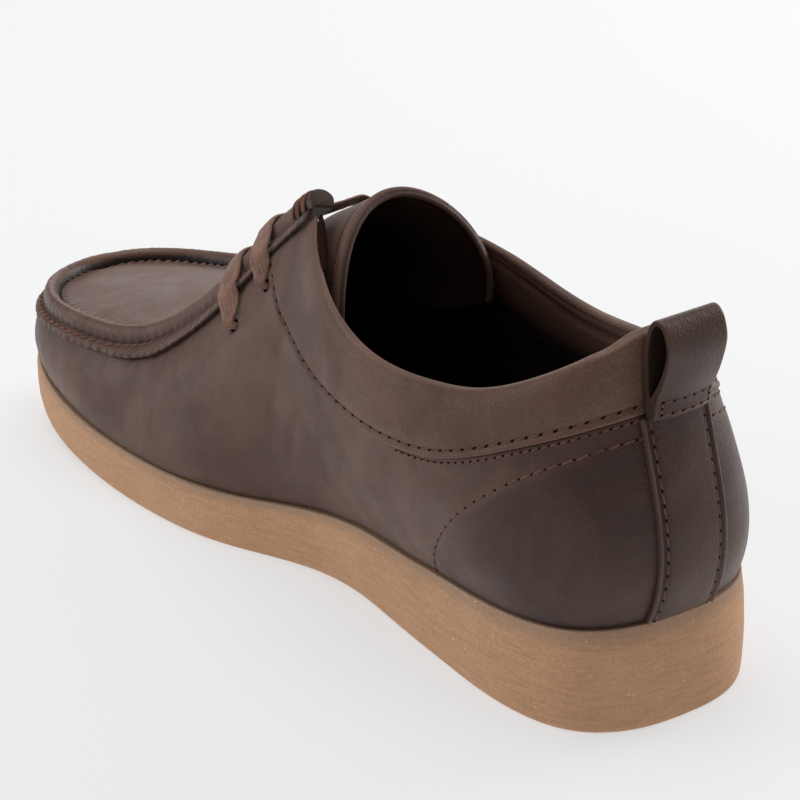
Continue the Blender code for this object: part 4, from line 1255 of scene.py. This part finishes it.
class SHOE_OT_tongue(bpy.types.Operator):
    """Tongue with its doubled bound edge and its seam"""

    bl_idname = "shoe.tongue"
    bl_label = "Tongue"

    def execute(self, context):
        rows = tongue_rows(110, 121)
        down = np.cumsum(np.linalg.norm(np.diff(rows[::-1], axis=0), axis=2), 0)
        down = np.concatenate([np.zeros((1, rows.shape[1])), down])[::-1]
        ahead = np.gradient(rows, axis=0)
        side = np.gradient(rows, axis=1)
        normal = unit(np.cross(side, ahead))
        normal *= np.sign(normal[..., 2:].mean())
        if (normal[60, 60] * np.array([0, 1, 1])).sum() < 0:
            normal = -normal
        lift = dents(rows, 0.02, 51) * 0.35 * MM
        lift -= 0.30 * MM * bell(down - TONGUE_SEAM, 0.7 * MM)
        lift += 0.15 * MM * bell(down - 1.8 * MM, 1.2 * MM)
        rows = rows + normal * lift[..., None]
        # Painted shade in the seam's furrow and painted highlight on the raised band along the edge.
        tone = 0.05 + 0.2 * dents(rows, 0.03, 52) - 0.4 * bell(down - TONGUE_SEAM, 0.6 * MM)
        tone = tone + 0.3 * bell(down - 1.6 * MM, 1.3 * MM)
        faces, corners = quads(*rows.shape[:2])
        flat = np.stack([down, np.broadcast_to(np.arange(rows.shape[1]) * 0.5 * MM, down.shape)], 2)
        made = build("tongue_panel", rows, faces.tolist(), [leather("tongue_leather", 0.25, 0.8, 0.46, 0.8, 0.05),
                                                          lining(), cut_edge()],
                     flat.reshape(-1, 2)[corners.ravel()], tone)
        if made.data.polygons[len(made.data.polygons) // 2 + 60].normal.dot(Vector(normal[55, 60])) < 0:
            made.data.flip_normals()
        thicken(made, TONGUE_THICK * 0.86, -1, 1, 2)
        apply_all(made)
        finish_piece(made, "leather", "tongue")

        line = rows[-1]
        up = unit(rows[-1] - rows[-4])
        face = normal[-1]
        shape = []
        for k in range(28):
            a = 2 * math.pi * k / 28
            x = math.cos(a)
            z = math.sin(a)
            pinch = 1 - 0.34 * bell(x, 0.22) * (1 if z > 0 else 0)
            shape.append((x * 1.62 * MM, z * 1.0 * MM * pinch))
        middle = line - face * (TONGUE_THICK * 0.43) + up * 0.15 * MM
        sections = [middle + face * x + up * z for x, z in shape]
        sections = np.array(sections).transpose(1, 0, 2)
        # Painted light on the face side of the binding, painted shade on its back and along its top and bottom.
        tone = np.zeros(sections.shape[:2])
        for k, (x, z) in enumerate(shape):
            tone[:, k] = 0.35 * (x > 0.3 * MM) - 0.6 * bell(x, 0.35 * MM) - 0.25 * (x < -0.3 * MM)
        made = tube("tongue_binding", sections, [leather("binding_leather", 0.2, 0.4, 0.5, 0.5)], None, tone)
        finish_piece(made, "leather")

        inner = rows[::-1]
        seam = []
        for j in range(4, rows.shape[1] - 4):
            seam.append([np.interp(TONGUE_SEAM, down[::-1, j], inner[:, j, k]) for k in range(3)])
        seam = np.array(seam)
        face = normal[-10, 4:-4]
        sew("tongue_stitches", [(seam, face, 0.0030, -0.10 * MM, 0.8, 0.5)], [thread(), needle_hole()], "leather")
        return {"FINISHED"}


class SHOE_OT_heel_strip(bpy.types.Operator):
    """Strip up the heel with folded edges and two seams"""

    bl_idname = "shoe.heel_strip"
    bl_label = "Heel strip"

    def execute(self, context):
        sizes = context.scene.shoe_sizes
        top = LOOP_OUT[0][1] * HEEL_TOP - CLEAR
        line = np.linspace(-2.4, 2.4, 241)
        heel = skin([0.0], 0.0)[0][2]
        stop = (top - heel) / (HEEL_TOP - heel)
        levels = np.linspace(0.004, stop, 90)
        half = STRIP_WIDTH / 2
        near_edge = np.array([0.845, 0.91, 0.955, 0.985])
        inner = np.sort(np.concatenate([np.linspace(-1, 1, 33), -near_edge, near_edge]))
        edge = np.abs(inner)
        height = STRIP_THICK * (1.0 + 0.28 * bell((1 - edge) * half - 0.5 * MM, 0.5 * MM)
                                - 0.30 * bell((1 - edge) * half - 1.4 * MM, 0.5 * MM)
                                - 0.22 * bell((1 - edge) * half - STRIP_SEAM, 0.5 * MM))
        height[[0, -1]] *= 0.55
        sections, marks = [], []
        for v in levels:
            way = skin(line, v)
            order = np.argsort(way[:, 0])
            g = np.interp(inner * half, way[order, 0], line[order])
            spot = skin(g, v)
            normal = skin_normal(g, v)
            out = spot + normal * (CLEAR * 1.2 + height)[:, None]
            base = spot + normal * (CLEAR * 1.2)
            sections.append(np.concatenate([out, base[::-4]]))
            marks.append([[np.interp(side * (half - STRIP_SEAM), inner * half, values[:, i]) for i in range(3)]
                          for side in (-1, 1) for values in (out, normal)])
        sections = np.array(sections)
        dent = dents(sections, 0.014, 61) * 0.12 * MM
        sections[:, :41] += np.array([0, -1, 0]) * np.abs(dent[:, :41, None])
        tone = np.full(sections.shape[:2], -0.55)
        # Painted highlight on the beads of the folded edges and painted shade in the grooves beside them and along
        # the seams.
        tone[:, :41] += (0.75 * bell((1 - edge) * half - 0.5 * MM, 0.5 * MM)
                         - 0.5 * bell((1 - edge) * half - 1.4 * MM, 0.5 * MM)
                         - 0.3 * bell((1 - edge) * half - STRIP_SEAM, 0.6 * MM))[None]
        tone[:, :41] += 0.3 * dents(sections[:, :41], 0.03, 62)
        made = tube("heel_strip", sections, [leather("strip_leather", 0.2, 0.6, 0.42, 1.0)], None, tone)
        finish_piece(made, "leather", "backstay")
        rows = []
        for k in (0, 1):
            path = np.array([m[2 * k] for m in marks])
            face = np.array([m[2 * k + 1] for m in marks])
            rows.append((path, face, sizes.short_stitch, -0.02 * MM, 0.9, 0.7))
        sew("strip_stitches", rows, [thread(), needle_hole()], "leather")
        return {"FINISHED"}


def loop_shape(x, turns):
    """Outer and inner line of the pull loop at a place across it."""
    knots = np.arange(len(LOOP_OUT) + 1)
    scale = np.array([SHOE_LENGTH, HEEL_TOP])
    base = LOOP_OUT[0][1] * HEEL_TOP
    tall = (LOOP_OUT[6][1] - LOOP_OUT[0][1]) * HEEL_TOP
    lines = []
    for table in (LOOP_OUT, LOOP_IN):
        line = spline(knots, list(table) + [table[0]], closed=True)(turns) * scale
        bow = LOOP_CURVE * (1 - smooth((line[:, 1] - base) / tall))
        y = line[:, 0] - bow * ((LOOP_WIDTH / 2) ** 2 - x * x)
        lines.append(np.stack([np.full(len(line), x), y, line[:, 1]], 1))
    return lines


class SHOE_OT_pull_loop(bpy.types.Operator):
    """Folded leather loop at the heel with its boxed seam"""

    bl_idname = "shoe.pull_loop"
    bl_label = "Pull loop"

    def execute(self, context):
        turns = np.linspace(0, len(LOOP_OUT), 181)[:-1]
        half = LOOP_WIDTH / 2
        near_edge = np.array([0, 0.10 * MM, 0.4 * MM])
        flat_part = np.linspace(-half + 1.0 * MM, half - 1.0 * MM, 21)
        xs = np.concatenate([-half + near_edge, flat_part, half - near_edge[::-1]])
        inset = np.zeros(len(xs))
        inset[[0, -1]] = 0.30 * MM
        inset[[1, -2]] = 0.10 * MM
        outer, inner = [], []
        for x, step in zip(xs, inset):
            o, i = loop_shape(x, turns)
            way = unit(i - o)
            outer.append(o + way * step)
            inner.append(i - way * step)
        outer = np.array(outer).transpose(1, 0, 2)
        inner = np.array(inner).transpose(1, 0, 2)
        side = np.linspace(0, 1, 7)[1:-1]
        right = outer[:, -1:] + (inner[:, -1:] - outer[:, -1:]) * side[None, :, None]
        left = inner[:, :1] + (outer[:, :1] - inner[:, :1]) * side[None, :, None]
        groove = 0.16 * MM * bell(side - 0.5, 0.16)
        right[..., 0] -= groove[None]
        left[..., 0] += groove[None]
        sections = np.concatenate([outer, right, inner[:, ::-1], left], 1)
        rows, cols = sections.shape[:2]
        faces, _ = quads(rows, cols, ring=True)
        last = (rows - 1) * cols
        j = np.arange(cols)
        close = np.stack([last + j, j, (j + 1) % cols, last + (j + 1) % cols], 1)
        faces = np.concatenate([faces, close])
        index = np.zeros((rows, cols), int)
        n = len(xs)
        index[:, n - 1:n + 5] = 1
        index[:, 2 * n + 4:] = 1
        index[:, n + 5:2 * n + 4] = 2
        tone = -0.55 + 0.25 * dents(sections, 0.016, 71)
        tone[:, :3] += 0.25
        tone[:, n - 3:n] += 0.25
        flat = np.zeros((len(faces) * 4, 2))
        made = build("heel_loop", sections, faces.tolist(),
                     [leather("loop_leather", 0.2, 0.6, 0.38, 0.5), cut_edge(), lining()], flat, tone, index)
        face_out(made)
        finish_piece(made, "leather", "pull_loop")

        fine = np.linspace(8, 12, 160)
        spans = np.linspace(-half + 1.9 * MM, half - 1.9 * MM, 30)
        back = loop_shape(0.0, fine)[0][:, 2]
        lines = []
        for height in (0.0012, 0.0048):
            z = LOOP_OUT[0][1] * HEEL_TOP + height
            k = len(back) - 1 - int(np.argmin(np.abs(back[::-1][:70] - z)))
            lines.append(np.array([loop_shape(x, fine[k:k + 1])[0][0] for x in spans]))
        away = np.array([0.0, -1.0, 0.12])
        rows = [(line, np.tile(unit(away), (len(line), 1)), 0.0036, -0.05 * MM, 1.0, 0.7) for line in lines]
        for end in (0, -1):
            short = np.array([lines[0][end], lines[1][end]])
            rows.append((short, np.tile(unit(away), (2, 1)), 0.0019, -0.05 * MM, 0.8, 0.6))
        sew("loop_stitches", rows, [thread(), needle_hole()], "leather")
        return {"FINISHED"}


def lace_side(sign, place, hole, rise, cross):
    spot, out, up, _ = (item[0] for item in roll_frame(np.array([sign * place])))
    normal = skin_normal([sign * hole], rise)[0]
    start = skin([sign * hole], rise)[0]
    over = LACE_THICK / 2 + CLEAR * 2.5
    edge = np.array([sign * (place - LACE_SLANT)])
    level = 1 - 0.8 * lip_length(edge) / wall_length(edge)
    lip_face = skin_normal(edge, level)[0]
    past = skin(edge, level)[0] + lip_face * (LIP_GAP + LIP_THICK * 1.1 + over + CLEAR)
    leave = start + normal * LEATHER * 0.80
    back = unit(start - past)
    facing = out + np.array([0.0, -0.55, 0.1])
    flat = unit(np.cross(past - leave, np.cross(facing, past - leave)))
    return [
        (start - normal * LEATHER * 0.6, back),
        (leave, unit(back + flat)),
        (leave + (past - leave) * 0.33, flat),
        (leave + (past - leave) * 0.70, flat),
        (past, unit(lip_face + out + flat)),
        (spot + out * (over + CLEAR) + up * (ROLL_HEIGHT * 0.62), unit(out + up * 0.4 + flat * 0.6)),
        (spot - out * (0.42 * ROLL_WIDTH) + up * (ROLL_HEIGHT + over), up),
        (spot - out * (1.04 * ROLL_WIDTH) + up * (cross * ROLL_HEIGHT + over), unit(up - out * 0.3)),
    ]


class SHOE_OT_laces(bpy.types.Operator):
    """Flat waxed laces over the roll, each into a hole on both sides"""

    bl_idname = "shoe.laces"
    bl_label = "Laces"

    def execute(self, context):
        for node, place, hole, rise, cross in LACES:
            inner = lace_side(1, place, hole, rise, cross)
            outer = lace_side(-1, place, hole, rise, cross)
            points = np.array([item[0] for item in inner + outer[::-1]])
            facing = np.array([item[1] for item in inner + outer[::-1]])
            run = path_length(points)
            curve = spline(run, points)
            t = np.linspace(0, run[-1], 190)
            centre = curve(t)
            ahead = unit(curve(np.clip(t + 0.0004, 0, run[-1])) - curve(np.clip(t - 0.0004, 0, run[-1])))
            up = sample(t, run, facing)
            up = unit(up - ahead * (up * ahead).sum(1)[:, None])
            side = np.cross(up, ahead)
            pinch = np.minimum(t, run[-1] - t) / (1.9 * LACE_WIDTH)
            width = LACE_WIDTH * (0.40 + 0.74 * smooth(pinch))
            thick = LACE_THICK * (0.85 + 0.35 * (1 - smooth(pinch)))
            around = np.linspace(0, 2 * np.pi, 33)[:-1]
            sections = []
            for a in around:
                x = np.sign(math.cos(a)) * abs(math.cos(a)) ** 0.62 * 0.5
                z = np.sign(math.sin(a)) * abs(math.sin(a)) ** 0.75 * 0.5
                place = np.full(len(t), x * 9 + (40 if z > 0 else 0))
                furrow = 0.10 * MM * uneven(place + 0.6 * uneven(t / (6 * MM), 81), 82)
                furrow += 0.05 * MM * uneven(t / (1.1 * MM) + x * 3, 83)
                height = thick * z + np.sign(z) * furrow * (abs(z) > 0.3)
                sections.append(centre + side * (x * width)[:, None] + up * height[:, None])
            sections = np.array(sections).transpose(1, 0, 2)
            made = tube("flat_" + node, sections, [waxed_lace()])
            finish_piece(made, "lace", node)
        return {"FINISHED"}


class SHOE_OT_seams(bpy.types.Operator):
    """Seams of the collar, the counter and the roll"""

    bl_idname = "shoe.seams"
    bl_label = "Seams"

    def execute(self, context):
        sizes = context.scene.shoe_sizes
        looks = [thread(), needle_hole()]
        rows = []
        for sign in (1, -1):
            g = sign * spread(0.62, 7.83, 300, rail)
            low, high, width, pad, flat = collar_size(g)
            share = 2.3 * MM / width
            level = low + (high - low) * share
            lift = np.interp(share, (0, 0.05, 0.30), (0.02, 0.12, 0.20)) * flat * pad
            normal = skin_normal(g, level)
            fade = smooth(width / (12 * MM))
            line = skin(g, level) + normal * (lift - fade * 0.38 * MM + 0.05 * MM)[:, None]
            rows.append((line, normal, sizes.long_stitch, 0.0, 1.3, 0.65))
            g = sign * spread(0.62, 4.5, 200, rail)
            level = band(g) - 1.2 * MM / wall_length(g)
            normal = skin_normal(g, level)
            rows.append((skin(g, level) + normal * 0.12 * MM, normal, 0.0028, -0.12 * MM, 0.95, 0.5))
        sew("collar_stitches", rows, looks, "leather_collar")
        rows = []
        table = np.array(COUNTER)
        steps = path_length(table * np.array([20.0, 80.0]))
        way = spline(steps, table)(np.linspace(0, steps[-1], 160))
        for sign in (1, -1):
            g = sign * way[:, 0]
            normal = skin_normal(g, way[:, 1])
            rows.append((skin(g, way[:, 1]) + normal * 0.25 * MM, normal, sizes.long_stitch, -0.04 * MM, 0.7, 0.55))
        sew("counter_stitches", rows, looks, "leather")
        g, spot, out, rise, run_way = roll_places()
        line = on_wall(g, 0.12 * lip_length(g), 0.30 * MM + 0.95 * LIP_THICK)
        run = path_length(spot)
        step = sizes.roll_stitch
        count = int(run[-1] / step)
        shape, sides = stitch_shape(8, 6)
        places = (np.arange(2, count - 1) + 0.5) * step
        ahead = unit(sample(places + MM, run, line) - sample(places - MM, run, line))
        points = lay(shape, (step * 0.70, 0.85 * MM, 0.75 * MM), sample(places, run, line), ahead,
                     unit(sample(places, run, rise + out * 0.5)), 0.16)
        faces = [tuple(k * len(shape) + i for i in side) for k in range(len(points)) for side in sides]
        made = build("roll_stitches", points, faces, [thread()])
        face_out(made)
        finish_piece(made, "leather")
        # Strong threads wound over each end of the roll
        ends = []
        for sign in (1, -1):
            for k, (first, last) in enumerate(((0.07, 0.16), (0.16, 0.22), (0.22, 0.33), (0.33, 0.38), (0.38, 0.47))):
                t = np.linspace(0, 1, 16)
                g = sign * (TIP + first + (last - first) * t)
                s = t if k % 2 else 1 - t
                spot, out, rise, run_way = roll_frame(g)
                x, z = spline(np.arange(len(ROLL)), ROLL)(0.1 + 3.2 * s).T
                away = unit(np.stack([x + 0.5, z - 0.42], 1)) * 0.22 * MM
                place = (np.abs(g) - TIP - ROLL_END) * 24 * MM + ROLL_PAST
                lean = (1 - smooth(place / (8 * MM))) * np.clip(z, 0, 1) ** 1.5 * MM
                line = spot + out * (x * ROLL_WIDTH + away[:, 0] - 1.1 * lean)[:, None]
                line = line + rise * (z * ROLL_HEIGHT + away[:, 1])[:, None]
                line = line + run_way * (ROLL_LEAN / MM * sign * lean)[:, None]
                ahead = unit(np.gradient(line, axis=0))
                side = unit(np.cross(ahead, out + rise))
                up = np.cross(side, ahead)
                turns = np.arange(8) * math.pi / 4
                rings = [line + (side * math.cos(a) + up * math.sin(a)) * 0.42 * MM for a in turns]
                ends.append(tube("end_thread", np.array(rings).transpose(1, 0, 2), [thread()]))
        bpy.ops.object.select_all(action="DESELECT")
        for made in ends:
            made.select_set(True)
        context.view_layer.objects.active = ends[0]
        bpy.ops.object.join()
        made = context.object
        made.name = "end_stitches"
        finish_piece(made, "leather")
        return {"FINISHED"}


class SHOE_OT_stage(bpy.types.Operator):
    """Pale floor, soft lights and the camera"""

    bl_idname = "shoe.stage"
    bl_label = "Stage"

    def execute(self, context):
        settings = context.scene.shoe_stage
        bpy.ops.object.select_all(action="DESELECT")
        bpy.ops.mesh.primitive_plane_add(size=12, location=(0, 0, 0))
        floor = context.object
        floor.name = "floor"
        r = Recipe("pale_floor")
        r.set(base_color=tuple(settings.floor), roughness=0.75)
        r.set(specular_ior_level=0.0)
        r.set(emission_color=(1, 1, 1), emission_strength=settings.glow)
        floor.data.materials.append(r.look)

        world = bpy.data.worlds.new("pale_studio")
        world.use_nodes = True
        world.node_tree.nodes["Background"].inputs["Color"].default_value = (0.93, 0.96, 1.0, 1)
        world.node_tree.nodes["Background"].inputs["Strength"].default_value = settings.sky
        context.scene.world = world
        context.scene.view_settings.view_transform = "Standard"

        def lamp(name, spot, aim, size, power, tint):
            data = bpy.data.lights.new(name, "AREA")
            data.shape = "RECTANGLE"
            data.size, data.size_y = size
            data.energy = power
            data.color = tint
            made = bpy.data.objects.new(name, data)
            made.location = spot
            made.rotation_euler = (Vector(aim) - Vector(spot)).to_track_quat("-Z", "Y").to_euler()
            context.scene.collection.objects.link(made)

        lamp("overhead", (0.10, 0.25, 1.90), (0, 0, 0.04), (1.7, 1.5), settings.key, (1.0, 0.99, 0.98))
        lamp("behind", (0.80, 1.10, 0.55), (0, 0.05, 0.05), (0.9, 0.5), settings.side * 0.45, (1.0, 0.99, 0.98))
        lamp("left", (-1.05, 0.95, 0.55), (0, 0.05, 0.05), (0.7, 0.6), settings.side, (0.97, 0.985, 1.0))
        lamp("right", (1.32, -0.20, 0.50), (0, -0.05, 0.05), (0.7, 0.6), settings.side * 1.8, (1.0, 0.99, 0.98))

        data = bpy.data.cameras.new("camera")
        data.lens = CAMERA_LENS
        data.sensor_width = 36
        data.clip_start = 0.02
        camera = bpy.data.objects.new("camera", data)
        look = Vector(CAMERA_LOOK).normalized()
        up = Vector(CAMERA_UP).normalized()
        right = look.cross(up).normalized()
        up = right.cross(look)
        camera.matrix_world = Matrix.Translation(CAMERA_SPOT) @ Matrix((right, up, -look)).transposed().to_4x4()
        context.scene.collection.objects.link(camera)
        context.scene.camera = camera
        return {"FINISHED"}


PIECES = (SHOE_OT_sole, SHOE_OT_insole, SHOE_OT_upper, SHOE_OT_collar, SHOE_OT_facings, SHOE_OT_roll, SHOE_OT_apron,
          SHOE_OT_tongue, SHOE_OT_heel_strip, SHOE_OT_pull_loop, SHOE_OT_laces, SHOE_OT_seams, SHOE_OT_stage)


class SHOE_PT_panel(bpy.types.Panel):
    """Sizes, colours and pieces of the shoe"""

    bl_idname = "SHOE_PT_panel"
    bl_label = "Shoe"
    bl_space_type = "VIEW_3D"
    bl_region_type = "UI"
    bl_category = "Shoe"

    def draw(self, context):
        for group in (context.scene.shoe_sizes, context.scene.shoe_colours, context.scene.shoe_stage):
            box = self.layout.box()
            for name in group.__annotations__:
                box.prop(group, name)
        for piece in PIECES:
            self.layout.operator(piece.bl_idname)


GROUPS = (ShoeSizes, ShoeColours, StageSettings)


def register():
    for item in (*GROUPS, *PIECES, SHOE_PT_panel):
        bpy.utils.register_class(item)
    bpy.types.Scene.shoe_sizes = PointerProperty(type=ShoeSizes)
    bpy.types.Scene.shoe_colours = PointerProperty(type=ShoeColours)
    bpy.types.Scene.shoe_stage = PointerProperty(type=StageSettings)


def unregister():
    del bpy.types.Scene.shoe_stage
    del bpy.types.Scene.shoe_colours
    del bpy.types.Scene.shoe_sizes
    for item in reversed((*GROUPS, *PIECES, SHOE_PT_panel)):
        bpy.utils.unregister_class(item)


def main():
    register()
    bpy.ops.shoe.stage()
    bpy.ops.shoe.sole()
    bpy.ops.shoe.insole()
    bpy.ops.shoe.upper()
    bpy.ops.shoe.collar()
    bpy.ops.shoe.facings()
    bpy.ops.shoe.roll()
    bpy.ops.shoe.apron()
    bpy.ops.shoe.tongue()
    bpy.ops.shoe.heel_strip()
    bpy.ops.shoe.pull_loop()
    bpy.ops.shoe.laces()
    bpy.ops.shoe.seams()


if __name__ == "__main__":
    main()
